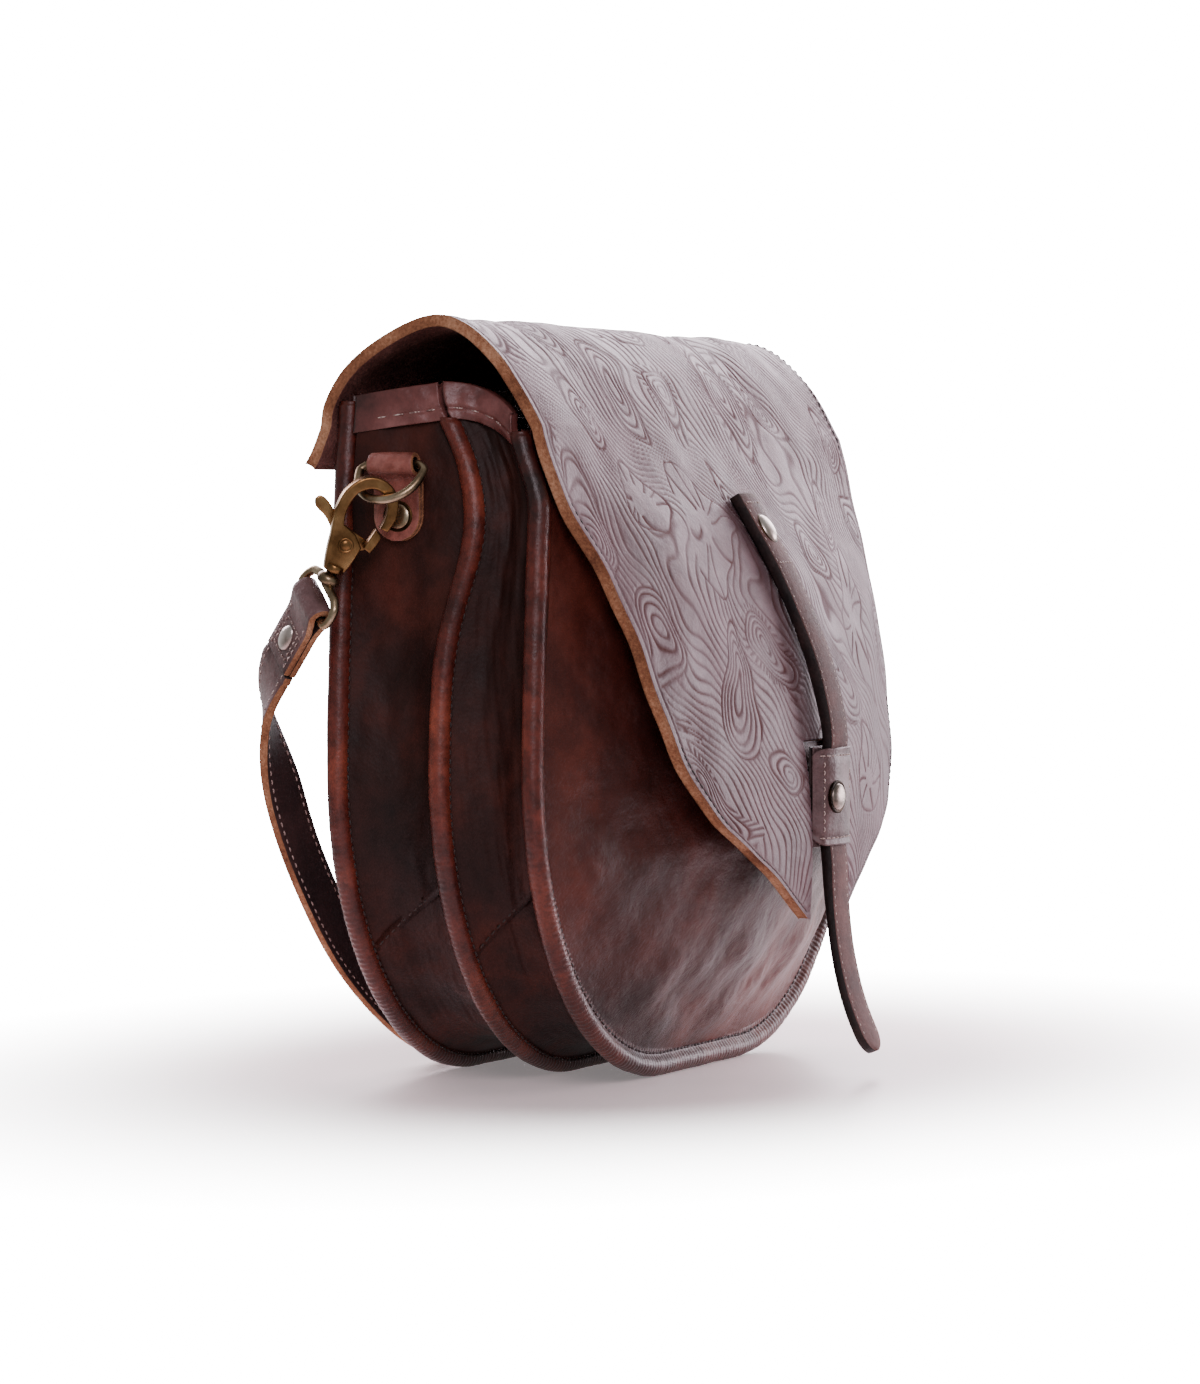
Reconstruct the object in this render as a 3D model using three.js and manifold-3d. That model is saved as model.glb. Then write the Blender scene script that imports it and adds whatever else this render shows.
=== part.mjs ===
// A leather saddle bag: a three-rim accordion shoulder bag with a tooled flap, a padded closure
// strap in a snap keeper, and a shoulder strap clipped to a D-ring on each side.
// Millimetres, +Z up, the front faces -Y, and the origin is at the bottom centre of the whole.

import * as THREE from 'three'
import { mergeVertices } from 'three/addons/utils/BufferGeometryUtils.js'
import Module from 'manifold-3d'

const manifold = await Module()
manifold.setup()

// ---------------------------------------------------------------- driving dimensions

const gap = 0.4 // clearance between pieces that touch on the real bag

// the U-shaped outline that the panels, rims and gussets share
const halfWidth = 145 // at the widest, outside the rims
const flatHalf = 34 // half of the flat bottom that the bag stands on
const cornerHeight = 112 // where each round bottom corner meets its side
const topTaper = 9.5 // how much each side draws in towards the top
const sideTop = 244 // top of the rear compartment's sides
const frontTop = 229 // top of the front panel, tucked under the flap

const rimRadius = 3.75
const rearRimY = 32
const middleRimY = -7
const frontRimY = -42
const panelThickness = 2
const gussetThickness = 2
const hemHeight = 9
const hemThickness = 3.4
const gussetDip = 9 // how far the gussets fold inwards between two rims

const domeHeight = 42 // how far the stuffed front panel stands out of its rim
const domeMiddle = 112 // height of its fullest point

const flapThickness = 3.2
const flapBow = 0.0011 // fall of the flap from its centre line to its sides, per mm of width
const notchHalf = 15 // the notch at the tip that lets the keeper reach the front panel
const notchTop = 120
const flapRearBottom = 213
const flapRearTop = 227.5

const strapWidth = 18
const closureWidth = 15.4
const closureThickness = 4
const keeperBottom = 82
const keeperTop = 117
const tailTop = 79

const hardwareWire = 1.5 // radius of the D-ring's and swivel eye's wire
const shoulderThickness = 3

// ---------------------------------------------------------------- materials

const leather = (color, roughness = 0.45) => new THREE.MeshStandardMaterial({ color, roughness, metalness: 0 })
const metal = (color, roughness = 0.35) => new THREE.MeshStandardMaterial({ color, roughness, metalness: 1 })
const materials = {
  body: leather(0x4a1c14),
  rim: leather(0x6e2a1c),
  hem: leather(0x54241c),
  flap: leather(0x8d7378, 0.5),
  closure: leather(0x2b1a19),
  strap: leather(0x4c302a),
  brass: metal(0x8c6a38),
  nickel: metal(0xb9ac98),
}

// ---------------------------------------------------------------- small geometry helpers

const v3 = (x, y, z) => new THREE.Vector3(x, y, z)
const { lerp, smoothstep, clamp } = THREE.MathUtils

/** A BufferGeometry whose faces point outwards, whichever way round they were listed. */
function outward(positions, faces) {
  const corner = (i) => v3().fromArray(positions, 3 * i)
  let volume = 0
  for (let f = 0; f < faces.length; f += 3)
    volume += corner(faces[f]).dot(corner(faces[f + 1]).cross(corner(faces[f + 2])))
  const geometry = new THREE.BufferGeometry()
  geometry.setAttribute('position', new THREE.Float32BufferAttribute(positions, 3))
  geometry.setIndex(volume < 0 ? faces.toReversed() : faces)
  return geometry
}

/** Joins cross-sections, each a ring of the same even number of points, into one closed solid. */
function loft(sections, endless = false) {
  const count = sections[0].length
  const faces = []
  const quad = (a, b, c, d) => faces.push(a, b, c, a, c, d)
  const spans = endless ? sections.length : sections.length - 1
  for (let row = 0; row < spans; row++) {
    const here = row * count
    const next = ((row + 1) % sections.length) * count
    for (let i = 0; i < count; i++) {
      const j = (i + 1) % count
      quad(here + i, here + j, next + j, next + i)
    }
  }
  if (!endless) {
    const last = (sections.length - 1) * count
    for (let i = 0; i < count / 2 - 1; i++) {
      quad(i, count - 1 - i, count - 2 - i, i + 1)
      quad(last + i, last + i + 1, last + count - 2 - i, last + count - 1 - i)
    }
  }
  const positions = sections.flat().flatMap((point) => point.toArray())
  return outward(positions, faces)
}

/** A closed slab between two surfaces, each a function of u (across) and v (along), 0 to 1. */
function slab(across, along, outer, inner) {
  const sections = []
  for (let row = 0; row <= along; row++) {
    const v = row / along
    const front = []
    const back = []
    for (let i = 0; i <= across; i++) {
      front.push(outer(i / across, v))
      back.unshift(inner(i / across, v))
    }
    sections.push([...front, ...back])
  }
  return loft(sections)
}

/** A round bar through centre points; wideways gives each section's first axis. */
function bar(centres, radius, sides, wideways, endless = false) {
  const sections = centres.map((centre, i) => {
    const before = centres[i > 0 ? i - 1 : endless ? centres.length - 1 : 0]
    const after = centres[i < centres.length - 1 ? i + 1 : endless ? 0 : i]
    const along = after.clone().sub(before).normalize()
    const first = wideways(i).clone()
    first.addScaledVector(along, -first.dot(along)).normalize()
    const second = along.clone().cross(first)
    return Array.from({ length: sides }, (_, k) => {
      const turn = ((k + 0.5) / sides) * 2 * Math.PI
      return centre.clone()
        .addScaledVector(first, radius * Math.cos(turn))
        .addScaledVector(second, radius * Math.sin(turn))
    })
  })
  return loft(sections, endless)
}

/** A flat strap along stations { at, across }, each with the strap's own width and thickness. */
function ribbon(stations, width, thickness) {
  const sections = stations.map(({ at, across }, i) => {
    const before = stations[Math.max(i - 1, 0)].at
    const after = stations[Math.min(i + 1, stations.length - 1)].at
    const along = after.clone().sub(before).normalize()
    const side = across.clone().addScaledVector(along, -across.dot(along)).normalize()
    const face = along.clone().cross(side)
    const corner = (a, b) =>
      at.clone().addScaledVector(side, (a * width) / 2).addScaledVector(face, (b * thickness) / 2)
    return [corner(-1, -1), corner(1, -1), corner(1, 1), corner(-1, 1)]
  })
  return loft(sections)
}

/** A closed outline drawn by a THREE.Shape, raised to a depth and centred on it. */
function plate(shape, depth, curveSegments = 6) {
  const geometry = new THREE.ExtrudeGeometry(shape, { depth, bevelEnabled: false, curveSegments })
  return geometry.translate(0, 0, -depth / 2)
}

/** A domed cap on a flat base, axis +Z, base at z = 0. */
function cap(radius, height, segments = 14) {
  const profile = [
    [0, 0],
    [radius, 0],
    [radius, height * 0.35],
    [radius * 0.72, height * 0.8],
    [0, height],
  ].map(([r, h]) => new THREE.Vector2(r, h))
  return new THREE.LatheGeometry(profile, segments).rotateX(Math.PI / 2)
}

function solid(geometry) {
  const bare = new THREE.BufferGeometry()
  bare.setAttribute('position', geometry.getAttribute('position'))
  if (geometry.index) bare.setIndex(geometry.index)
  const merged = mergeVertices(bare, 1e-3)
  const mesh = new manifold.Mesh({
    numProp: 3,
    vertProperties: merged.attributes.position.array,
    triVerts: new Uint32Array(merged.index.array),
  })
  return new manifold.Manifold(mesh)
}

function geometryOf(body) {
  const { vertProperties, triVerts } = body.getMesh()
  const geometry = new THREE.BufferGeometry()
  geometry.setAttribute('position', new THREE.Float32BufferAttribute(vertProperties, 3))
  geometry.setIndex(Array.from(triVerts))
  return geometry
}

const join = (a, b) => geometryOf(solid(a).add(solid(b)))
const cut = (a, b) => geometryOf(solid(a).subtract(solid(b)))

const bag = new THREE.Group()

function add(name, geometry, material, parent = bag) {
  const mesh = new THREE.Mesh(geometry, material)
  mesh.name = name
  parent.add(mesh)
  return mesh
}

// ---------------------------------------------------------------- the shared U outline

const cornerArc = (Math.PI / 2) * ((halfWidth - flatHalf + cornerHeight) / 2)
const sideLength = sideTop - cornerHeight
const halfLength = flatHalf + cornerArc + sideLength

/** A point on the outline, inset by so much. s runs -1 (top left), 0 (bottom centre), 1 (top right). */
function outline(s, inset) {
  const run = Math.abs(s) * halfLength
  const side = Math.sign(s)
  if (run < flatHalf) return { x: side * run, z: inset }
  if (run < flatHalf + cornerArc) {
    const turn = (((run - flatHalf) / cornerArc) * Math.PI) / 2
    return {
      x: side * (flatHalf + (halfWidth - flatHalf - inset) * Math.sin(turn)),
      z: cornerHeight - (cornerHeight - inset) * Math.cos(turn),
    }
  }
  const rise = (run - flatHalf - cornerArc) / sideLength
  return { x: side * (halfWidth - inset - topTaper * rise ** 1.5), z: cornerHeight + rise * sideLength }
}

/** Half of the outline's width at a height. */
function halfWidthAt(z, inset) {
  if (z < cornerHeight) {
    const fall = (cornerHeight - z) / (cornerHeight - inset)
    return flatHalf + (halfWidth - flatHalf - inset) * Math.sqrt(Math.max(0, 1 - fall * fall))
  }
  return halfWidth - inset - topTaper * ((z - cornerHeight) / sideLength) ** 1.5
}

/** How far along the outline a side has risen to a height, as s. */
const alongAt = (z) => (flatHalf + cornerArc + (z - cornerHeight)) / halfLength

// each rim keeps to a plane below, and follows the flap's curve near the top
const rearY = (z) => rearRimY - 7 * smoothstep(z, 205, 240)
const frontY = (z) => frontRimY + 8.5 * smoothstep(z, 200, 232)
const middleY = (z) =>
  middleRimY - 11 * Math.exp(-(((z - 197) / 32) ** 2)) + 5 * smoothstep(z, 215, 244) * (z > 215 ? 1 : 0)

// ---------------------------------------------------------------- the flap's curve

// half width, y and z of the flap's outer face along its centre line, from the rear hinge to the tip
const flapProfile = new THREE.CatmullRomCurve3(
  [
    v3(137, 35, 237),
    v3(137, 26.5, 249.5),
    v3(137, 7, 264),
    v3(137, -4, 267.5),
    v3(137.5, -15, 265),
    v3(138, -28, 254),
    v3(138, -35.2, 244),
    v3(137, -45.2, 226),
    v3(133, -56, 207),
    v3(126, -65, 192),
    v3(121, -72, 179),
    v3(114, -80.5, 158),
    v3(107, -87, 133),
    v3(97, -90.8, 112),
    v3(82, -92.3, 95.5),
    v3(48, -92.8, 75),
    v3(16, -92.3, 56),
  ],
  false,
  'centripetal',
)

const flapTipZ = 56
const bowAt = (z) => flapBow * (1 - clamp((z - 130) / 100, 0, 1) ** 1.6)

/** Y of the flap's outer face on its centre line, at a height in front. */
function flapFrontY(z) {
  let low = 0.3
  let high = 1
  for (let i = 0; i < 24; i++) {
    const middle = (low + high) / 2
    if (flapProfile.getPointAt(middle).z > z) low = middle
    else high = middle
  }
  return flapProfile.getPointAt(low).y
}

/** Y of the flap's inner face in front, at a place. */
const flapInnerY = (x, z) => flapFrontY(z) + bowAt(z) * x * x + flapThickness * 1.25

// ---------------------------------------------------------------- rims

function rim(name, planeY, top) {
  const end = alongAt(top)
  const steps = 46
  const centres = []
  for (let i = 0; i <= steps; i++) {
    const { x, z } = outline(lerp(-end, end, i / steps), rimRadius)
    centres.push(v3(x, planeY(z), z))
  }
  add(name, bar(centres, rimRadius / Math.cos(Math.PI / 8), 8, () => v3(0, 1, 0)), materials.rim)
}
rim('rear_rim', rearY, sideTop - 5)
rim('middle_rim', middleY, sideTop - hemHeight - 2)
rim('front_rim', frontY, frontTop - 1)

// ---------------------------------------------------------------- panels

const panelInset = 2 * rimRadius + gap

/** A U-shaped panel; bulge(x, z) moves its outer face out along -Y. */
function panel(planeY, top, bulge, columns, rows) {
  const surface = (offset) => (u, v) => {
    const z = lerp(panelInset, top, v ** 1.5)
    const x = lerp(-1, 1, u) * halfWidthAt(z, panelInset)
    return v3(x, planeY(z) - bulge(x, z) + offset, z)
  }
  return slab(columns, rows, surface(-panelThickness / 2), surface(panelThickness / 2))
}

const pillow = (x, z, inset) => 1 - (x / halfWidthAt(z, inset)) ** 2

/** Depth of the stuffed front panel in front of its rim; the flap holds it back where they meet. */
function dome(x, z) {
  const reach = z < domeMiddle
    ? 1 - ((domeMiddle - z) / (domeMiddle - panelInset)) ** 2
    : 1 - ((z - domeMiddle) / (frontTop + 4 - domeMiddle)) ** 1.5
  const free = domeHeight * Math.max(0, reach) * pillow(x, z, panelInset - 0.01)
  if (z < flapTipZ) return free
  return Math.min(free, frontY(z) - flapInnerY(x, z) - panelThickness / 2 - 2 * gap)
}

add('back_panel', panel(rearY, sideTop - 12, (x, z) => -1.2 * pillow(x, z, panelInset - 0.01), 8, 12), materials.body)
add('middle_panel', panel(middleY, sideTop - hemHeight - 1, () => 0, 8, 14), materials.body)
add('front_panel', panel(frontY, frontTop - 8, dome, 14, 16), materials.body)

/** A folded binding over a panel's top edge. */
function binding(name, planeY, from, to, bulge, half) {
  const surface = (offset) => (u, v) => {
    const z = lerp(from, to, v)
    const x = lerp(-half, half, u)
    return v3(x, planeY(z) - bulge(x, z) + offset, z)
  }
  add(name, slab(10, 1, surface(-hemThickness / 2), surface(hemThickness / 2)), materials.hem)
}
binding('middle_panel_binding', middleY, sideTop - hemHeight - 1 + gap, sideTop, () => 0, halfWidthAt(sideTop, panelInset))
binding('front_panel_binding', frontY, frontTop - 8 + gap, frontTop, dome, halfWidthAt(frontTop, panelInset))
binding('back_panel_binding', rearY, sideTop - 12 + gap, sideTop - 2, () => 0, halfWidthAt(sideTop, panelInset))

// ---------------------------------------------------------------- gussets and their hems

const gussetEdge = rimRadius + 2.5 * gap

/** Part of the strip between two rims, from one place on the outline to another. */
function gusset(backY, frontPlaneY, from, to, steps, thickness, lift, topDip) {
  const surface = (inward) => (u, v) => {
    const s = lerp(from(v), to(v), u)
    const fold = lerp(gussetDip, topDip, smoothstep(outline(s, 0).z, 140, 195))
    const dip = 1.5 + lift + fold * Math.sin(Math.PI * v) + inward
    const { x, z } = outline(s, dip)
    const rear = backY(z) - gussetEdge
    const front = frontPlaneY(z) + gussetEdge
    return v3(x, lerp(rear, front, v), z)
  }
  return slab(steps, 4, surface(0), surface(thickness))
}

// each bottom seam runs aslant, higher at the front edge of its gusset
const seamRear = alongAt(cornerHeight) - 0.215
const seamFront = alongAt(cornerHeight) - 0.125
const seam = (v) => lerp(seamRear, seamFront, v)
const seamGap = 0.0015

function gussetSet(name, backY, frontPlaneY, top, topDip) {
  const end = alongAt(top - hemHeight - gap)
  const hemEnd = alongAt(top)
  const hemStart = alongAt(top - hemHeight)
  const parts = [
    ['left', (v) => -end, (v) => -seam(v) - seamGap, 11],
    ['bottom', (v) => -seam(v), (v) => seam(v), 18],
    ['right', (v) => seam(v) + seamGap, (v) => end, 11],
  ]
  for (const [side, from, to, steps] of parts)
    add(`${name}_gusset_${side}`, gusset(backY, frontPlaneY, from, to, steps, gussetThickness, 0, topDip), materials.body)
  const hems = [
    ['left', () => -hemEnd, () => -hemStart],
    ['right', () => hemStart, () => hemEnd],
  ]
  for (const [side, from, to] of hems)
    add(`${name}_hem_${side}`, gusset(backY, frontPlaneY, from, to, 1, hemThickness, -0.7, topDip), materials.hem)
}
gussetSet('rear', rearY, middleY, sideTop, 1)
gussetSet('front', middleY, frontY, frontTop + 4, 6)

// ---------------------------------------------------------------- flap

/** A point of the flap: u across, t along the profile, and a depth below its outer face. */
function flapPoint(u, t, depth) {
  const station = flapProfile.getPointAt(t)
  const tangent = flapProfile.getTangentAt(t)
  const inwards = v3(0, -tangent.z, tangent.y).normalize()
  const x = lerp(-1, 1, u) * station.x
  return v3(x, station.y + bowAt(station.z) * x * x, station.z).addScaledVector(inwards, depth)
}

const wholeFlap = slab(12, 26, (u, t) => flapPoint(u, t, 0), (u, t) => flapPoint(u, t, flapThickness))
const notch = new THREE.BoxGeometry(2 * notchHalf, 60, notchTop).translate(0, -90, notchTop / 2)
add('flap', cut(wholeFlap, notch), materials.flap)

// the rear end of the same hide, sewn flat on the back panel
const flapRear = (y) => (u, v) => {
  const z = lerp(flapRearBottom, flapRearTop, v)
  return v3(lerp(-137, 137, u), y - 1.8 * v, z)
}
add('flap_rear', slab(2, 1, flapRear(40.2), flapRear(40.2 - flapThickness)), materials.flap)

// ---------------------------------------------------------------- closure strap, keeper and snap

const closureTop = 207
const closureLift = closureThickness / 2 + gap
const closureRoute = [
  v3(0, flapFrontY(closureTop) - closureLift - 0.3, closureTop),
  v3(0, flapFrontY(195) - closureLift - 0.4, 195),
  v3(0, flapFrontY(180) - closureLift - 0.4, 180),
  v3(0, -86.6, 155),
  v3(0, -92.4, 135),
  v3(0, -95.2, 116),
  v3(0, -95.4, 100),
  v3(0, -95.6, tailTop + 1.5),
]
const tailRoute = [
  v3(0, -95.7, tailTop),
  v3(0, -96.2, 62),
  v3(0, -98.8, 42),
  v3(0, -103.2, 25),
  v3(0, -110.5, 8),
]

function paddedStrap(route, steps) {
  const curve = new THREE.CatmullRomCurve3(route)
  const stations = curve.getSpacedPoints(steps).map((at) => ({ at, across: v3(1, 0, 0) }))
  return ribbon(stations, closureWidth, closureThickness)
}
add('closure_strap', paddedStrap(closureRoute, 16), materials.closure)
add('closure_tail', paddedStrap(tailRoute, 9), materials.closure)

/** Stands a piece made along +Z on the front, facing -Y, at a place. */
const facingFront = (geometry, x, y, z, tilt = 0) => geometry.rotateX(Math.PI / 2 + tilt).translate(x, y, z)

const rivetHeight = 194
add(
  'closure_rivet',
  facingFront(cap(5.5, 2.2), 0, flapFrontY(rivetHeight) - closureThickness - 4 * gap, rivetHeight, -0.55),
  materials.nickel,
)

// the keeper is a sleeve round the strap, with a snap on its face
const keeperFront = -101
const keeperBack = -90.8
const keeperWall = 2.2
const keeperShape = new THREE.Shape([
  new THREE.Vector2(-notchHalf + 1.5, keeperBack),
  new THREE.Vector2(notchHalf - 1.5, keeperBack),
  new THREE.Vector2(notchHalf - 2.5, keeperFront + 2),
  new THREE.Vector2(notchHalf - 4.5, keeperFront),
  new THREE.Vector2(-notchHalf + 4.5, keeperFront),
  new THREE.Vector2(-notchHalf + 2.5, keeperFront + 2),
])
const sleeveHalf = closureWidth / 2 + gap
const sleeveBack = keeperBack - 1.4
keeperShape.holes.push(
  new THREE.Path([
    new THREE.Vector2(-sleeveHalf, keeperFront + keeperWall),
    new THREE.Vector2(sleeveHalf, keeperFront + keeperWall),
    new THREE.Vector2(sleeveHalf, sleeveBack),
    new THREE.Vector2(-sleeveHalf, sleeveBack),
  ]),
)
const keeper = new THREE.ExtrudeGeometry(keeperShape, { depth: keeperTop - keeperBottom, bevelEnabled: false })
add('closure_keeper', keeper.translate(0, 0, keeperBottom), materials.strap)

const snapHeight = (keeperBottom + keeperTop) / 2
const snapSide = -5.2 // the snap sits left of the strap's middle
add('snap_cap', facingFront(cap(4.8, 1.8), snapSide, keeperFront - 0.3, snapHeight), materials.nickel)
const socket = new THREE.CylinderGeometry(6, 6, 1.6, 14).rotateX(Math.PI / 2)
add('snap_socket', facingFront(socket, snapSide, keeperBack + 1.2, snapHeight), materials.brass)

const panelFace = frontY(snapHeight) - dome(snapSide, snapHeight) - panelThickness / 2
const studTop = keeperBack + 2 + 2 * gap
const studLength = panelFace - gap - studTop
add(
  'snap_stud',
  facingFront(
    new THREE.CylinderGeometry(4, 5, studLength, 14).rotateX(Math.PI / 2),
    snapSide,
    panelFace - gap - studLength / 2,
    snapHeight,
  ),
  materials.brass,
)

// ---------------------------------------------------------------- one side's tab, ring and swivel hook

// everything here is made for the left side (-X) and mirrored for the right
const ringHinge = v3(-143.5, 9, 217)
const tabBack = 5.2 // from the ring hinge in to the tab's back and its face
const tabFace = 2.6
const tabLength = 26
const tabRivetDrop = 18 // from the ring hinge down to the tab's rivet
const hookTop = v3(-152, 11.9, 211.4)
const hookDown = v3(-0.087, 0.434, -0.897).normalize()
const hookPin = hookTop.clone().addScaledVector(hookDown, 24)
const hookFacing = v3(-0.8, -0.55, -0.2)
hookFacing.addScaledVector(hookDown, -hookFacing.dot(hookDown)).normalize()
const eyeBar = v3(-155, 34.3, 169.6)
const endAcross = v3(0.427, 0.595, 0.68).normalize()
const endAlong = v3(0.298, 0.618, -0.727).normalize()
const endFacing = endAcross.clone().cross(endAlong)

/** Moves a piece drawn in its own x, y, z to an origin with the given axes. */
function placed(geometry, origin, xAxis, yAxis, zAxis) {
  return geometry.applyMatrix4(new THREE.Matrix4().makeBasis(xAxis, yAxis, zAxis).setPosition(origin))
}

function ringTab() {
  // folded round the D-ring's straight bar, then flat on the gusset down past the rivet
  const shape = new THREE.Shape()
  shape.moveTo(-tabBack, -tabLength)
  shape.lineTo(-tabBack, 1.5)
  shape.absarc(0, 0, 4.4, 0.83 * Math.PI, 1.28 * Math.PI, true)
  shape.lineTo(-tabFace, -6)
  shape.lineTo(-tabFace, -tabLength)
  const hole = new THREE.Path()
  hole.absarc(0, 0, hardwareWire + gap + 0.3, 0, 2 * Math.PI)
  shape.holes.push(hole)
  return shape
}

function dRing() {
  const half = 12
  const drop = 15
  const points = []
  const outwards = v3(-0.62, 0, -0.785).normalize()
  const corner = 3
  const place = (y, down) => ringHinge.clone().add(v3(0, y, 0)).addScaledVector(outwards, down)
  for (let i = 0; i <= 4; i++) points.push(place(lerp(-half + corner, half - corner, i / 4), 0))
  const bow = 12
  for (let i = 0; i <= bow; i++) {
    const turn = lerp(0.05, Math.PI - 0.05, i / bow)
    points.push(place(half * Math.cos(turn) * 1.02, drop * Math.sin(turn) ** 0.8 + 0.5))
  }
  const middle = place(0, drop / 2)
  return bar(points, hardwareWire, 6, (i) => points[i].clone().sub(middle), true)
}

const hookThickness = 4.6

function hookBody() {
  const shape = new THREE.Shape()
  shape.moveTo(-3.2, -10)
  shape.quadraticCurveTo(-5.8, -4, -6.4, 2)
  shape.quadraticCurveTo(-9.4, 12, -7.6, 18)
  shape.quadraticCurveTo(-4.5, 25.6, 2.5, 25.4)
  shape.quadraticCurveTo(10.5, 24.6, 12.2, 14.5)
  shape.lineTo(11.2, 9.4)
  shape.lineTo(8.2, 9.6)
  shape.quadraticCurveTo(9.4, 17, 6, 20.2)
  shape.quadraticCurveTo(0.5, 24, -3.6, 18)
  shape.quadraticCurveTo(-6, 12, -3.6, 6)
  shape.lineTo(2, 4.2)
  shape.lineTo(5.6, 1)
  shape.quadraticCurveTo(5, -5, 3.4, -10)
  const hole = new THREE.Path()
  hole.absarc(0, 0, 1.9, 0, 2 * Math.PI)
  shape.holes.push(hole)
  return plate(shape, hookThickness, 4)
}

function hookGate() {
  // a lever behind the hook, from the thumb tab past the pin, with the gate in the hook's mouth
  const lever = new THREE.Shape()
  lever.moveTo(-12.8, 4)
  lever.quadraticCurveTo(-16, 6.5, -12.6, 9.2)
  lever.lineTo(-5, 6.4)
  lever.lineTo(3, 4.2)
  lever.lineTo(9.4, 3.2)
  lever.lineTo(8.4, 0)
  lever.lineTo(2.6, -3.2)
  lever.lineTo(-2.6, -3.2)
  const hole = new THREE.Path()
  hole.absarc(0, 0, 1.9, 0, 2 * Math.PI)
  lever.holes.push(hole)
  const leverThickness = 1.6
  const behind = -(hookThickness + leverThickness) / 2 - gap
  const back = plate(lever, leverThickness, 4).translate(0, 0, behind)
  // its tip stays on a circle about the pin, clear of the end of the hook's limb
  const finger = new THREE.Shape([
    new THREE.Vector2(6.2, 1.6),
    new THREE.Vector2(8.6, 0.9),
    new THREE.Vector2(10, 6.9),
    new THREE.Vector2(9.2, 7.9),
    new THREE.Vector2(7.2, 9),
  ])
  const fingerDepth = hookThickness + gap + leverThickness / 2
  const front = plate(finger, fingerDepth).translate(0, 0, hookThickness / 2 - fingerDepth / 2)
  return join(back, front)
}

function swivelEye() {
  // an oblong loop for the strap, on a collar under the hook
  const up = v3(0, -0.56, 0.83)
  up.addScaledVector(endAcross, -up.dot(endAcross)).normalize()
  const half = 11.5
  const height = 8.5
  const corner = 3.8
  const points = []
  const corners = [
    [half - corner, corner, 0],
    [half - corner, height - corner, 1],
    [-half + corner, height - corner, 2],
    [-half + corner, corner, 3],
  ]
  for (const [x, y, quarter] of corners)
    for (let i = 0; i <= 3; i++) {
      const turn = (quarter - 1 + i / 3) * (Math.PI / 2)
      points.push(eyeBar.clone()
        .addScaledVector(endAcross, x + corner * Math.cos(turn))
        .addScaledVector(up, y + corner * Math.sin(turn)))
    }
  const middle = eyeBar.clone().addScaledVector(up, height / 2)
  const loop = bar(points, hardwareWire, 6, (i) => points[i].clone().sub(middle), true)
  const collarTop = hookPin.clone().addScaledVector(hookDown, 10 + gap)
  const neckEnd = eyeBar.clone().addScaledVector(up, height)
  const neckStart = collarTop.clone().addScaledVector(hookDown, 1)
  const neck = bar([neckStart, neckStart.clone().lerp(neckEnd, 0.5), neckEnd], 2, 6, () => v3(1, 0, 0))
  const collar = bar([collarTop, collarTop.clone().addScaledVector(hookDown, 2.4)], 3.8, 12, () => v3(1, 0, 0))
  return join(join(collar, neck), loop)
}

const endReach = 26

function strapEnd() {
  // the strap folded round the eye's bar, its two layers sewn together
  const shape = new THREE.Shape()
  const fold = hardwareWire + gap + 0.3
  const outer = fold + 2.2
  shape.moveTo(endReach, -2.4)
  shape.lineTo(endReach, 2.4)
  shape.lineTo(7, 2.6)
  shape.lineTo(2.2, outer - 0.2)
  shape.absarc(0, 0, outer, 0.42 * Math.PI, 1.58 * Math.PI, false)
  shape.lineTo(7, -2.6)
  const hole = new THREE.Path()
  hole.absarc(0, 0, fold, 0, 2 * Math.PI)
  shape.holes.push(hole)
  return plate(shape, strapWidth - 3, 5)
}

const strapStart = eyeBar.clone().addScaledVector(endAlong, endReach + 2.5 * gap)
const strapRun = strapStart.clone().addScaledVector(endAlong, 5)

function side(name, direction) {
  const group = new THREE.Group()
  group.scale.x = direction
  bag.add(group)

  // the tab's flat part lies against the gusset, facing -X
  const tabAxes = [v3(-1, 0, 0), v3(0, 0, 1), v3(0, 1, 0)]
  const tab = placed(plate(ringTab(), 17, 5), ringHinge, ...tabAxes)
  add(`ring_tab_${name}`, tab, materials.hem, group)
  const rivetAt = ringHinge.clone().add(v3(tabFace - gap, -3, -tabRivetDrop))
  const rivet = cap(4.8, 2).rotateY(-Math.PI / 2).translate(rivetAt.x, rivetAt.y, rivetAt.z)
  add(`tab_rivet_${name}`, rivet, materials.nickel, group)

  add(`d_ring_${name}`, dRing(), materials.brass, group)
  const hookRight = hookFacing.clone().cross(hookDown)
  const hookAxes = [hookRight, hookDown.clone().negate(), hookFacing]
  add(`hook_${name}`, placed(hookBody(), hookPin, ...hookAxes), materials.brass, group)
  add(`hook_gate_${name}`, placed(hookGate(), hookPin, ...hookAxes), materials.brass, group)
  const pin = new THREE.CylinderGeometry(1.5, 1.5, hookThickness + 6, 12).rotateX(Math.PI / 2).translate(0, 0, -1)
  add(`hook_pin_${name}`, placed(pin, hookPin, ...hookAxes), materials.brass, group)
  add(`swivel_eye_${name}`, swivelEye(), materials.brass, group)

  const endAxes = [endAlong, endFacing, endAlong.clone().cross(endFacing)]
  add(`strap_end_${name}`, placed(strapEnd(), eyeBar, ...endAxes), materials.strap, group)
  const endRivet = cap(4.8, 2).rotateX(-Math.PI / 2).translate(16.5, 2.9, 0)
  add(`strap_rivet_${name}`, placed(endRivet, eyeBar, ...endAxes), materials.nickel, group)
}
side('left', 1)
side('right', -1)

// ---------------------------------------------------------------- shoulder strap

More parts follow.
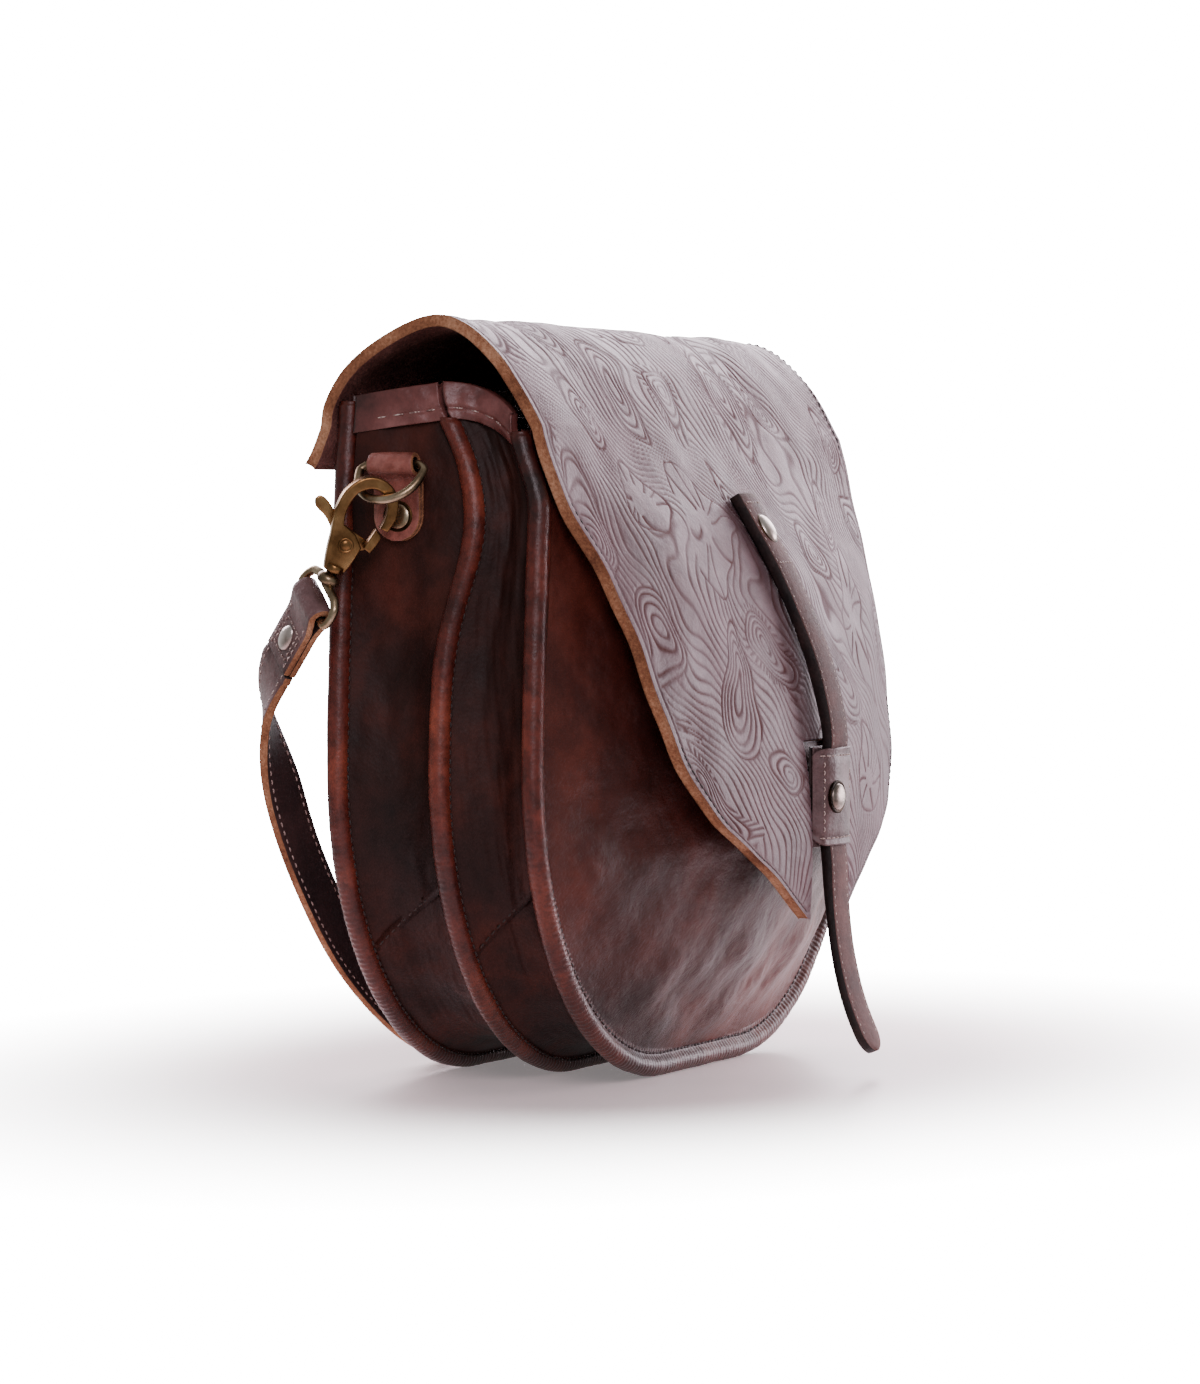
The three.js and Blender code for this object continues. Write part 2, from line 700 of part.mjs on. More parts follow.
// centre points and width directions, from the left clasp down behind the bag, folded to and fro
// on its edge on the ground there, and up to the right clasp
const mirrored = (point) => v3(-point.x, point.y, point.z)
const upright = v3(0, 0, 1)
const groundHeight = strapWidth / 2 + 1
const runY = (run) => 50 + 8 * run
const runStart = (run) => -10 + 17 * run
const runEnd = 122
const route = [
  [strapStart, endAcross],
  [strapRun, endAcross],
  [v3(-141.6, 59.5, 133), v3(0.64, 0.4, 0.6)],
  [v3(-127, 60, 101), v3(0.88, -0.17, 0.44)],
  [v3(-112, 59, 76), v3(0.84, -0.12, 0.5)],
  [v3(-90, 56, 48), v3(0.72, -0.08, 0.69)],
  [v3(-62, 52.5, 26), v3(0.45, -0.04, 0.89)],
  [v3(-34, 50.5, 13), v3(0.2, 0, 0.98)],
]
for (let run = 0; run < 5; run++) {
  const forwards = run % 2 === 0
  const ends = [runStart(run), runEnd - 3]
  if (!forwards) ends.reverse()
  for (const share of [0, 0.33, 0.67, 1])
    route.push([v3(lerp(ends[0], ends[1], share), runY(run), groundHeight), upright])
  if (run < 4)
    route.push([v3(forwards ? runEnd + 1.5 : runStart(run) - 4, runY(run + 0.5), groundHeight), upright])
}
route.push(
  [v3(131, 79, 20), v3(-0.5, 0, 0.85)],
  [v3(138, 74, 44), v3(-0.9, 0.1, 0.4)],
  [v3(142, 67, 76), v3(-0.95, 0.15, 0.2)],
  [v3(145, 61, 108), v3(-0.85, 0.35, 0.3)],
  [v3(145, 60.5, 130), v3(-0.66, 0.45, 0.5)],
  [mirrored(strapRun), mirrored(endAcross)],
  [mirrored(strapStart), mirrored(endAcross)],
)
const centreLine = new THREE.CatmullRomCurve3(route.map(([at]) => at), false, 'centripetal')
const widthLine = new THREE.CatmullRomCurve3(route.map(([, across]) => across), false, 'centripetal')
const strapStations = []
const strapSteps = 3 * (route.length - 1)
for (let i = 0; i <= strapSteps; i++)
  strapStations.push({ at: centreLine.getPoint(i / strapSteps), across: widthLine.getPoint(i / strapSteps) })
add('shoulder_strap', ribbon(strapStations, strapWidth, shoulderThickness), materials.strap)

// ---------------------------------------------------------------- origin at the bottom centre

const box = new THREE.Box3().setFromObject(bag, true)
bag.position.set(-(box.min.x + box.max.x) / 2, -(box.min.y + box.max.y) / 2, -box.min.z)

export default bag
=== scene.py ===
"""Looks of the leather saddle bag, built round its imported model. Shapes are worked out in millimetres."""

from math import cos, pi, radians, sin, sqrt

import bpy
import numpy as np
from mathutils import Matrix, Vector


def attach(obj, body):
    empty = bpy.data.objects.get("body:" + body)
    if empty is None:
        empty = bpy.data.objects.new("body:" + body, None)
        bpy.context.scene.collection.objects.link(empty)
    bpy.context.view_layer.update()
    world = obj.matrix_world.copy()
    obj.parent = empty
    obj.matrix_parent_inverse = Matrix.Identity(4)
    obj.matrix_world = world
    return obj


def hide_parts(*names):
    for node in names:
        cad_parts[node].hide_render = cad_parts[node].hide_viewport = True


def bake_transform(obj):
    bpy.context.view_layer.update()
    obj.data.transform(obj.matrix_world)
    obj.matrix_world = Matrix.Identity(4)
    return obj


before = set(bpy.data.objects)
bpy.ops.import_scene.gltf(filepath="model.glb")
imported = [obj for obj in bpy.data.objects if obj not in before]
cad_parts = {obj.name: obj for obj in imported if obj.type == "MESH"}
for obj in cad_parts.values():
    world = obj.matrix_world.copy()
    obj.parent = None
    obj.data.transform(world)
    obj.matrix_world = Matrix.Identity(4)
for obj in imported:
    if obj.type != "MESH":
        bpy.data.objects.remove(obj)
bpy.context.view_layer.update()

# ---- dimensions shared with the CAD part

DEPTH_SHIFT = 14.498  # the part's origin is this far in front of the design's
HALF_WIDTH, FLAT_HALF, CORNER_HEIGHT, TOP_TAPER = 145.0, 34.0, 112.0, 9.5
SIDE_TOP, FRONT_TOP = 244.0, 229.0
RIM_RADIUS = 3.75
REAR_RIM_Y, MIDDLE_RIM_Y, FRONT_RIM_Y = 32.0, -7.0, -42.0
PANEL_INSET = 7.9
GUSSET_DIP = 9.0
DOME_HEIGHT, DOME_MIDDLE = 42.0, 112.0
FLAP_THICKNESS, HIDE_THICKNESS, FLAP_BOW = 3.2, 4.1, 0.0011
NOTCH_HALF, NOTCH_TOP = 15.0, 120.0
STRAP_WIDTH, SHOULDER_THICKNESS = 18.0, 3.0
CLOSURE_WIDTH, CLOSURE_THICKNESS = 15.4, 4.0
KEEPER_FOOT, KEEPER_HEIGHT = 82.0, 35.0
SNAP_X, SNAP_Z = -5.2, 99.5
CORNER_ARC = pi / 2 * ((HALF_WIDTH - FLAT_HALF + CORNER_HEIGHT) / 2)
SIDE_LENGTH = SIDE_TOP - CORNER_HEIGHT
HALF_LENGTH = FLAT_HALF + CORNER_ARC + SIDE_LENGTH

# ---- mathematics


def unit(v):
    v = np.asarray(v, float)
    return v / np.maximum(np.linalg.norm(v, axis=-1, keepdims=True), 1e-12)


def smoothstep(v, low, high):
    t = np.clip((v - low) / (high - low), 0, 1)
    return t * t * (3 - 2 * t)


def bump(v, middle, width):
    return np.exp(-(((v - middle) / width) ** 2))


def waves(x, y, size, seed):
    """Smooth unevenness, about -1 to 1, whose lumps are about this size."""
    random = np.random.default_rng(seed)
    total = 0
    for _ in range(10):
        turn, phase = random.uniform(0, 2 * pi, 2)
        rate = 2 * pi / size * random.uniform(0.5, 1.4)
        total = total + np.sin(rate * (x * cos(turn) + y * sin(turn)) + phase)
    return total / sqrt(10)


def catmull(points, t):
    """Centripetal Catmull-Rom curve through points, at t from 0 to 1."""
    points = np.asarray(points, float)
    ends = np.vstack([2 * points[0] - points[1], points, 2 * points[-1] - points[-2]])
    place = np.clip(t, 0, 1) * (len(points) - 1)
    i = np.minimum(place.astype(int), len(points) - 2)
    w = (place - i)[..., None]
    p0, p1, p2, p3 = (ends[i + k] for k in range(4))
    d0, d1, d2 = (np.sqrt(np.linalg.norm(b - a, axis=-1, keepdims=True)) for a, b in ((p0, p1), (p1, p2), (p2, p3)))
    d1 = np.where(d1 < 1e-4, 1, d1)
    d0, d2 = np.where(d0 < 1e-4, d1, d0), np.where(d2 < 1e-4, d1, d2)
    m1 = ((p1 - p0) / d0 - (p2 - p0) / (d0 + d1) + (p2 - p1) / d1) * d1
    m2 = ((p2 - p1) / d1 - (p3 - p1) / (d1 + d2) + (p3 - p2) / d2) * d1
    return p1 + m1 * w + (3 * (p2 - p1) - 2 * m1 - m2) * w**2 + (2 * (p1 - p2) + m1 + m2) * w**3


def run_along(points):
    """Distance along a polyline at each of its points."""
    return np.concatenate([[0], np.cumsum(np.linalg.norm(np.diff(points, axis=0), axis=1))])


def sample(values, run, at):
    return np.stack([np.interp(at, run, column) for column in np.transpose(values)], axis=1)


def spaced(points, count):
    """Count points evenly spaced along a polyline."""
    run = run_along(points)
    return sample(points, run, np.linspace(0, run[-1], count))


def smooth_path(points, count, fine=1500):
    """Count points evenly spaced along the smooth curve through points."""
    return spaced(catmull(points, np.linspace(0, 1, fine)), count)


def tangents(points):
    return unit(np.gradient(np.asarray(points, float), axis=0))


def grid(rows, columns):
    v, u = np.meshgrid(np.linspace(0, 1, rows), np.linspace(0, 1, columns), indexing="ij")
    return u, v


def xyz(x, y, z):
    return np.stack(np.broadcast_arrays(*(np.asarray(k, float) for k in (x, y, z))), axis=-1)


def round_table(count):
    """Cosines and sines of this many angles round a circle."""
    turn = np.arange(count) / count * 2 * pi
    return np.cos(turn), np.sin(turn)


def metres(points):
    return (np.asarray(points) + (0, DEPTH_SHIFT, 0)) * 0.001


# ---- the bag's shared shape


def outline(s, inset):
    """The U outline, inset by so much. s runs -1 (top left), 0 (bottom), 1 (top right)."""
    run = np.abs(s) * HALF_LENGTH
    turn = np.clip((run - FLAT_HALF) / CORNER_ARC, 0, 1) * pi / 2
    rise = np.maximum((run - FLAT_HALF - CORNER_ARC) / SIDE_LENGTH, 0)
    round_x = FLAT_HALF + (HALF_WIDTH - FLAT_HALF - inset) * np.sin(turn) - TOP_TAPER * rise**1.5
    z = CORNER_HEIGHT - (CORNER_HEIGHT - inset) * np.cos(turn) + rise * SIDE_LENGTH
    return np.sign(s) * np.where(run < FLAT_HALF, run, round_x), z


def half_width_at(z, inset):
    fall = np.clip((CORNER_HEIGHT - z) / (CORNER_HEIGHT - inset), 0, 1)
    low = FLAT_HALF + (HALF_WIDTH - FLAT_HALF - inset) * np.sqrt(np.maximum(0, 1 - fall**2))
    rise = np.maximum((z - CORNER_HEIGHT) / SIDE_LENGTH, 0)
    return np.where(z < CORNER_HEIGHT, low, HALF_WIDTH - inset - TOP_TAPER * rise**1.5)


def along_at(z):
    return (FLAT_HALF + CORNER_ARC + (z - CORNER_HEIGHT)) / HALF_LENGTH


def rear_y(z):
    return REAR_RIM_Y - 0.5 * smoothstep(z, 205, 240)


def front_y(z):
    return FRONT_RIM_Y + 8.5 * smoothstep(z, 200, 232)


def middle_y(z):
    return MIDDLE_RIM_Y - 11 * bump(z, 197, 32) + 5 * smoothstep(z, 215, 244)


FLAP_PROFILE = [
    (137, 39.6, 238), (137, 32, 250), (137, 11, 264.3), (137, -4, 268.2), (137.5, -15, 265), (138, -28, 254),
    (138, -35.2, 244), (137, -45.2, 226), (133, -56, 207), (126, -65, 192), (121, -72, 179), (114, -80.5, 158),
    (107, -87, 133), (97, -90.8, 112), (82, -92.3, 95.5), (48, -92.8, 75), (16, -92.3, 56),
]
flap_line = catmull(FLAP_PROFILE, np.linspace(0, 1, 900))


def flap_front_y(z):
    front = flap_line[flap_line[:, 1] < -10][::-1]
    return np.interp(z, front[:, 2], front[:, 1])


def flap_bow(z):
    return FLAP_BOW * (1 - np.clip((z - 130) / 100, 0, 1) ** 1.6)


def pillow(x, z):
    """1 along the middle of a panel, falling to 0 at its rim."""
    return 1 - np.clip(x / half_width_at(z, PANEL_INSET - 0.01), -1, 1) ** 2


def dome(x, z):
    """How far the stuffed front panel stands out of its rim."""
    low = 1 - ((DOME_MIDDLE - z) / (DOME_MIDDLE - PANEL_INSET)) ** 2
    high = 1 - (np.maximum(z - DOME_MIDDLE, 0) / (FRONT_TOP + 4 - DOME_MIDDLE)) ** 1.5
    free = DOME_HEIGHT * np.maximum(0, np.where(z < DOME_MIDDLE, low, high)) * pillow(x, z)
    inner = flap_front_y(z) + flap_bow(z) * x * x + FLAP_THICKNESS * 1.25
    held = np.minimum(free, front_y(z) - inner - 1.8)
    return np.where(z < 56, free, held)


# ---- materials


def shade(tree, kind, inputs=None, **settings):
    """Adds a node; an input takes a value or another node's socket."""
    made = tree.nodes.new("ShaderNode" + kind)
    for key, value in settings.items():
        setattr(made, key, value)
    feed(tree, made, inputs or {})
    return made


def feed(tree, node, inputs):
    for key, value in inputs.items():
        socket = node.inputs[key]
        if isinstance(value, bpy.types.NodeSocket):
            tree.links.new(value, socket)
        else:
            socket.default_value = value


def from_node(tree, kind, inputs=None, out=0, **settings):
    return shade(tree, kind, inputs, **settings).outputs[out]


def noise(tree, where, scale, detail, roughness=0.5):
    return from_node(tree, "TexNoise", {"Vector": where, "Scale": scale, "Detail": detail, "Roughness": roughness})


def remap(tree, value, low, high, begin=0.0, end=1.0, **settings):
    """The value, spread from begin..end to low..high."""
    inputs = {"Value": value, "From Min": begin, "From Max": end, "To Min": low, "To Max": high}
    return from_node(tree, "MapRange", inputs, **settings)


def raised(tree, height, strength, distance, **more):
    return from_node(tree, "Bump", {"Height": height, "Strength": strength, "Distance": distance, **more})


def linear(colour):
    """A colour written as sRGB 0 to 255, as linear light."""
    c = np.array(colour, float) / 255
    return tuple(np.where(c <= 0.04045, c / 12.92, ((c + 0.055) / 1.055) ** 2.4)) + (1.0,)


def blank(name):
    made = bpy.data.materials.new(name)
    made.use_nodes = True
    tree = made.node_tree
    tree.nodes.clear()
    shader = shade(tree, "BsdfPrincipled")
    out = shade(tree, "OutputMaterial", {"Surface": shader.outputs[0]})
    out.target = "ALL"
    return made, tree, shader, from_node(tree, "TexCoord", out="Object")


def ramp(tree, factor, stops):
    made = shade(tree, "ValToRGB", {"Fac": factor})
    while len(made.color_ramp.elements) < len(stops):
        made.color_ramp.elements.new(0.5)
    for element, (place, colour) in zip(made.color_ramp.elements, stops):
        element.position = place
        element.color = linear(colour)
    return made.outputs["Color"]


def mixed(tree, factor, a, b, blend="MIX"):
    made = shade(tree, "Mix", data_type="RGBA", blend_type=blend, clamp_factor=True)
    live = [k for k, socket in enumerate(made.inputs) if socket.enabled]
    feed(tree, made, dict(zip(live, (factor, a, b))))
    return [s for s in made.outputs if s.enabled][0]


def leather(name, dark, base, light, rough=0.4, patch=35, grain=0.12, crease=0.35, sheen=0.0, groove=None,
            speckle=0.25, specular=0.5, foot_shade=0.0):
    """Waxed hide: mottled colour, pore grain and fine creases; groove colours the tooled lines, and
    the last argument sets how far painted shade darkens the hide towards the bag's foot."""
    made, tree, shader, where = blank(name)
    broad = noise(tree, where, patch, 5.0, 0.62)
    fine = noise(tree, where, patch * 9, 6.0, 0.7)
    colour = ramp(tree, broad, [(0.32, dark), (0.5, base), (0.72, light)])
    flecks = ramp(tree, fine, [(0.35, (150, 145, 145)), (0.6, (255, 255, 255))])
    colour = mixed(tree, speckle, colour, mixed(tree, 1.0, colour, flecks, "MULTIPLY"))
    uneven = remap(tree, broad, rough * 0.78, rough * 1.3)
    # painted shade: the hide's colour darkens towards the bag's foot
    if foot_shade:
        height = from_node(tree, "SeparateXYZ", {0: where}, "Z")
        colour = mixed(tree, remap(tree, height, foot_shade, 0.0, end=0.1), colour, linear(dark))
    if groove:
        tooled = from_node(tree, "Attribute", out="Fac", attribute_name="tool")
        colour = mixed(tree, tooled, colour, linear(groove))
        uneven = from_node(tree, "Math", {0: tooled, 1: 0.4, 2: uneven}, operation="MULTIPLY_ADD")
    pores = from_node(tree, "TexVoronoi", {"Vector": where, "Scale": 820.0, "Randomness": 1.0}, "Distance")
    creased = raised(tree, noise(tree, where, 210.0, 7.0, 0.68), crease, 0.0011)
    feed(tree, shader, {
        "Base Color": colour, "Roughness": uneven, "Normal": raised(tree, pores, grain, 0.0005, Normal=creased),
        "Specular IOR Level": specular, "Sheen Weight": sheen, "Sheen Roughness": 0.35,
        "Sheen Tint": linear((225, 210, 235)),
    })
    return made


def raw_edge(name, dark, base, light):
    """The cut, fibrous edge or flesh side of a hide."""
    made, tree, shader, where = blank(name)
    fibre, broad = noise(tree, where, 900.0, 8.0, 0.75), noise(tree, where, 60.0, 4.0)
    total = from_node(tree, "Math", {0: fibre, 1: broad}, operation="ADD")
    half = from_node(tree, "Math", {0: total, 1: 0.5}, operation="MULTIPLY")
    feed(tree, shader, {
        "Base Color": ramp(tree, half, [(0.36, dark), (0.5, base), (0.64, light)]),
        "Normal": raised(tree, fibre, 0.7, 0.0008), "Roughness": 0.88, "Specular IOR Level": 0.15,
    })
    return made


def metal(name, dark, base, light, rough):
    """Antique plating: darker where it is tarnished, with fine brushing."""
    made, tree, shader, where = blank(name)
    broad = noise(tree, where, 90.0, 6.0, 0.6)
    scratch = from_node(tree, "Mapping", {"Vector": where, "Scale": (1, 1, 0.12)})
    feed(tree, shader, {
        "Base Color": ramp(tree, broad, [(0.34, dark), (0.5, base), (0.7, light)]),
        "Roughness": remap(tree, broad, rough * 1.5, rough * 0.7),
        "Normal": raised(tree, noise(tree, scratch, 2600.0, 4.0), 0.12, 0.0002), "Metallic": 1.0,
    })
    return made


def thread(name, dark, base, light):
    """Waxed sewing thread with its twist."""
    made, tree, shader, where = blank(name)
    twist = from_node(tree, "TexWave", {"Vector": where, "Scale": 900.0, "Distortion": 2.0}, "Fac")
    feed(tree, shader, {
        "Base Color": ramp(tree, twist, [(0.2, dark), (0.55, base), (0.9, light)]),
        "Normal": raised(tree, twist, 0.5, 0.0002), "Roughness": 0.55,
    })
    return made


BODY = leather("body_hide", (20, 9, 7), (44, 20, 16), (78, 35, 26), rough=0.5, patch=22, crease=0.4, specular=0.18)
PANEL = leather("panel_hide", (24, 8, 6), (62, 24, 18), (106, 50, 38), rough=0.37, patch=13, crease=0.7, specular=0.28)
# the rims get painted shade, darkening towards the bag's foot
RIM = leather("rim_hide", (44, 18, 16), (92, 37, 28), (140, 66, 47), rough=0.36, patch=24, crease=0.35,
              speckle=0.8, specular=0.4, foot_shade=0.65)
HEM = leather("hem_hide", (58, 27, 24), (104, 56, 52), (150, 98, 94), rough=0.36, patch=30, specular=0.55)
TAB = leather("tab_hide", (92, 42, 34), (142, 82, 72), (184, 128, 118), rough=0.42, patch=60, specular=0.4)
FLAP = leather("tooled_hide", (80, 54, 57), (104, 76, 80), (130, 102, 108), rough=0.47, patch=12, grain=0.08,
               crease=0.3, sheen=0.12, groove=(74, 34, 30), speckle=0.35, specular=0.36)
FLESH = raw_edge("flesh_side", (60, 34, 31), (102, 64, 58), (140, 94, 86))
EDGE = raw_edge("raw_edge", (98, 60, 42), (146, 98, 70), (192, 146, 114))
STRAP = leather("strap_hide", (66, 44, 43), (106, 78, 78), (146, 118, 118), rough=0.42, patch=40, specular=0.35)
LINING = leather("strap_back", (22, 13, 13), (40, 25, 24), (62, 42, 40), rough=0.55, patch=40, specular=0.25)
CLOSURE = leather("closure_hide", (48, 28, 25), (82, 54, 50), (118, 86, 82), rough=0.6, patch=40, specular=0.12)
# painted shade: this near-black edge colour stands in for the shadowed sides of the straps, keeper and gussets
SHADED_EDGE = leather("shaded_edge", (10, 6, 6), (26, 15, 14), (48, 30, 28), rough=0.5, patch=90, specular=0.25)
KEEPER = leather("keeper_hide", (56, 36, 35), (90, 66, 66), (128, 104, 106), rough=0.45, patch=50, specular=0.4)
BRASS = metal("antique_brass", (98, 70, 42), (142, 106, 68), (184, 146, 100), 0.27)
RING = metal("worn_brass", (84, 70, 54), (150, 130, 104), (204, 188, 162), 0.28)
NICKEL = metal("antique_nickel", (110, 100, 92), (172, 158, 150), (214, 204, 198), 0.3)
DARK_METAL = metal("dark_metal", (24, 16, 10), (48, 34, 20), (80, 58, 34), 0.5)
DARK_THREAD = thread("dark_thread", (14, 7, 6), (30, 16, 14), (60, 34, 30))
PALE_THREAD = thread("pale_thread", (112, 88, 84), (166, 140, 132), (206, 186, 178))

# ---- meshes


def add_object(name, data):
    made = bpy.data.objects.new(name, data)
    bpy.context.collection.objects.link(made)
    return made


def build(name, points, quads, materials, kinds=None, polygons=(), attributes=None, mirror=False):
    """A mesh object from millimetre points; kinds number each quad's material, faces end up pointing outwards."""
    points = np.array(points, float).reshape(-1, 3)
    if mirror:
        points = points * (-1, 1, 1)
    quads = np.asarray(quads, int).reshape(-1, 4)
    a, b, c, d = (points[quads[:, k]] for k in range(4))
    if np.sum(a * (np.cross(b, c) + np.cross(c, d))) < 0:
        quads = quads[:, ::-1]
        polygons = [list(reversed(p)) for p in polygons]
    loops = np.concatenate([quads.ravel(), *polygons]).astype(np.int32)
    sizes = np.array([4] * len(quads) + [len(p) for p in polygons], np.int32)
    mesh = bpy.data.meshes.new(name)
    mesh.vertices.add(len(points))
    mesh.vertices.foreach_set("co", metres(points).astype(np.float32).ravel())
    mesh.loops.add(len(loops))
    mesh.loops.foreach_set("vertex_index", loops)
    mesh.polygons.add(len(sizes))
    mesh.polygons.foreach_set("loop_start", np.concatenate([[0], np.cumsum(sizes)[:-1]]).astype(np.int32))
    for material in materials if isinstance(materials, list) else [materials]:
        mesh.materials.append(material)
    if kinds is not None:
        mesh.polygons.foreach_set("material_index", np.concatenate([kinds, np.zeros(len(polygons))]).astype(np.int32))
    mesh.update(calc_edges=True)
    mesh.validate()
    mesh.polygons.foreach_set("use_smooth", np.ones(len(mesh.polygons), bool))
    for key, values in (attributes or {}).items():
        mesh.attributes.new(key, "FLOAT", "POINT").data.foreach_set("value", np.asarray(values, np.float32))
    return add_object(name, mesh)


def bands(index, endless=False):
    """Quads between rows of closed rings of point numbers."""
    here, ahead = (index, np.roll(index, -1, axis=0)) if endless else (index[:-1], index[1:])
    return np.stack([here, np.roll(here, -1, axis=1), np.roll(ahead, -1, axis=1), ahead], axis=-1).reshape(-1, 4)


def thick(name, outer, inner, materials, keep=None, crown=0.4, tool=None, mirror=False):
    """A sheet with two faces and a crowned edge round it and round its openings.
    materials are those of the outer face, inner face and edge."""
    normals = unit(np.cross(np.gradient(outer, axis=1), np.gradient(outer, axis=0)))
    if np.mean(np.sum(normals * (outer - inner), axis=-1)) > 0:
        outer, inner = outer[:, ::-1], inner[:, ::-1]
        tool = None if tool is None else tool[:, ::-1]
        keep = None if keep is None else keep[:, ::-1]
    rows, columns = outer.shape[:2]
    count = rows * columns
    keep = np.ones((rows - 1, columns - 1), bool) if keep is None else keep
    index = np.arange(count).reshape(rows, columns)
    corner = [index[:-1, :-1], index[:-1, 1:], index[1:, 1:], index[1:, :-1]]
    faces = np.stack([c[keep] for c in corner], axis=1)
    points = np.concatenate([outer.reshape(-1, 3), inner.reshape(-1, 3)])
    fence = np.pad(keep, 1)
    edges = []
    for (a, b), (dr, dc) in zip(((0, 1), (1, 2), (2, 3), (3, 0)), ((-1, 0), (0, 1), (1, 0), (0, -1))):
        open_side = keep & ~fence[1 + dr : rows + dr, 1 + dc : columns + dc]
        edges.append(np.stack([corner[a][open_side], corner[b][open_side]], axis=1))
    begin, end = np.concatenate(edges).T
    through = points[:count] - points[count:]
    push = np.zeros((count, 3))
    away = unit(np.cross(points[end] - points[begin], through[begin]))
    np.add.at(push, begin, away)
    np.add.at(push, end, away)
    border = np.unique([begin, end])
    push = unit(push[border])
    rings, total = [index.ravel()], 2 * count
    for share, reach in ((0.14, 0.72), (0.5, 1.0), (0.86, 0.72)):
        ring = np.full(count, -1)
        ring[border] = total + np.arange(len(border))
        total += len(border)
        rings.append(ring)
        points = np.concatenate([points, points[border] - through[border] * share + push * crown * reach])
    rings.append(index.ravel() + count)
    walls = [np.stack([up[end], up[begin], low[begin], low[end]], axis=1) for up, low in zip(rings, rings[1:])]
    quads = np.concatenate([faces, faces[:, ::-1] + count, *walls])
    kinds = np.repeat([0, 1, 2], [len(faces), len(faces), len(quads) - 2 * len(faces)])
    used, quads = np.unique(quads, return_inverse=True)
    attributes = {}
    if tool is not None:
        lines = np.zeros(len(points))
        lines[:count] = tool.ravel()
        attributes["tool"] = lines[used]
    return build(name, points[used], quads, materials, kinds, attributes=attributes, mirror=mirror)


def loft(name, rings, materials, endless=False, mirror=False, kinds=None):
    """A closed solid through rings of points, shaped (ring, point, 3)."""
    count, size = rings.shape[:2]
    index = np.arange(count * size).reshape(count, size)
    ends = [] if endless else [list(index[0][::-1]), list(index[-1])]
    if kinds is not None:
        kinds = np.broadcast_to(kinds, (count - 1, size)).ravel()
    return build(name, rings, bands(index, endless), materials, kinds, polygons=ends, mirror=mirror)


def rings_along(path, radius, sides, first, endless=False):
    """Round rings about a path; first points from the path to each ring's first corner."""
    along = unit(np.roll(path, -1, axis=0) - np.roll(path, 1, axis=0)) if endless else tangents(path)
    first = np.broadcast_to(np.asarray(first, float), path.shape)
    first = unit(first - along * np.sum(first * along, axis=1, keepdims=True))
    second = np.cross(along, first)
    c, s = round_table(sides)
    ring = first[:, None] * c[:, None] + second[:, None] * s[:, None]
    return path[:, None] + ring * radius


def lathe(name, profile, origin, axis, material, squeeze=1.0, across=(0, 0, 1), mirror=False):
    """A turned piece from (radius, height) points; squeeze makes it oval."""
    axis = unit(axis)
    second = unit(np.cross(axis, across))
    first = np.cross(second, axis)
    c, s = round_table(40)
    rings = [origin + axis * h + r * (np.outer(c, first) + squeeze * np.outer(s, second)) for r, h in profile]
    return loft(name, np.array(rings), material, mirror=mirror)


DOMED_RIVET = [(0.05, 1.0), (0.3, 0.985), (0.55, 0.9), (0.75, 0.74), (0.9, 0.5), (0.98, 0.26), (1.0, 0.1), (0.97, 0.0)]


def domed(radius, height):
    return [(r * radius, h * height) for r, h in DOMED_RIVET]


def stitches(name, path, outwards, material, pitch=3.1, length=2.2, radius=0.36, mirror=False):
    """A row of sewn stitches along a path on a surface."""
    run = run_along(path)
    count = max(2, int(run[-1] / pitch))
    at = (np.arange(count) + 0.5) * run[-1] / count
    up = unit(sample(outwards, run, at))
    along = unit(sample(path, run, at + length / 2) - sample(path, run, at - length / 2))
    side = np.cross(along, up)
    middle = sample(path, run, at)
    c, s = round_table(8)
    ring = side[:, None] * c[:, None] + up[:, None] * s[:, None] * 0.8
    rings = []
    for step in np.linspace(-1, 1, 7):
        thin = radius * (1 - 0.55 * abs(step) ** 3)
        centre = middle + along * (step * length / 2) + up * (0.12 - 0.32 * step**2)
        rings.append(centre[:, None] + ring * thin)
    points = np.stack(rings, axis=1)
    index = np.arange(count * 56).reshape(count, 7, 8)
    quads = np.concatenate([bands(k) for k in index])
    ends = [list(end) for k in index for end in (k[0][::-1], k[-1])]
    return build(name, points, quads, material, polygons=ends, mirror=mirror)


def trace(start, *steps):
    """A closed outline in a plane: each step is (x, y), or (control x, control y, x, y) for a curve."""
    points = [np.array(start, float)]
    for step in steps:
        begin, control, end = points[-1], np.array(step[:2], float), np.array(step[-2:], float)
        for t in np.linspace(0, 1, 11)[1:] if len(step) == 4 else [1.0]:
            points.append((1 - t) ** 2 * begin + 2 * t * (1 - t) * control + t * t * end)
    return np.array(points[:-1])


def arc(radius, begin, end):
    turn = np.radians(np.linspace(begin, end, 24))
    return [tuple(k) for k in radius * np.stack([np.cos(turn), np.sin(turn)], axis=1)]


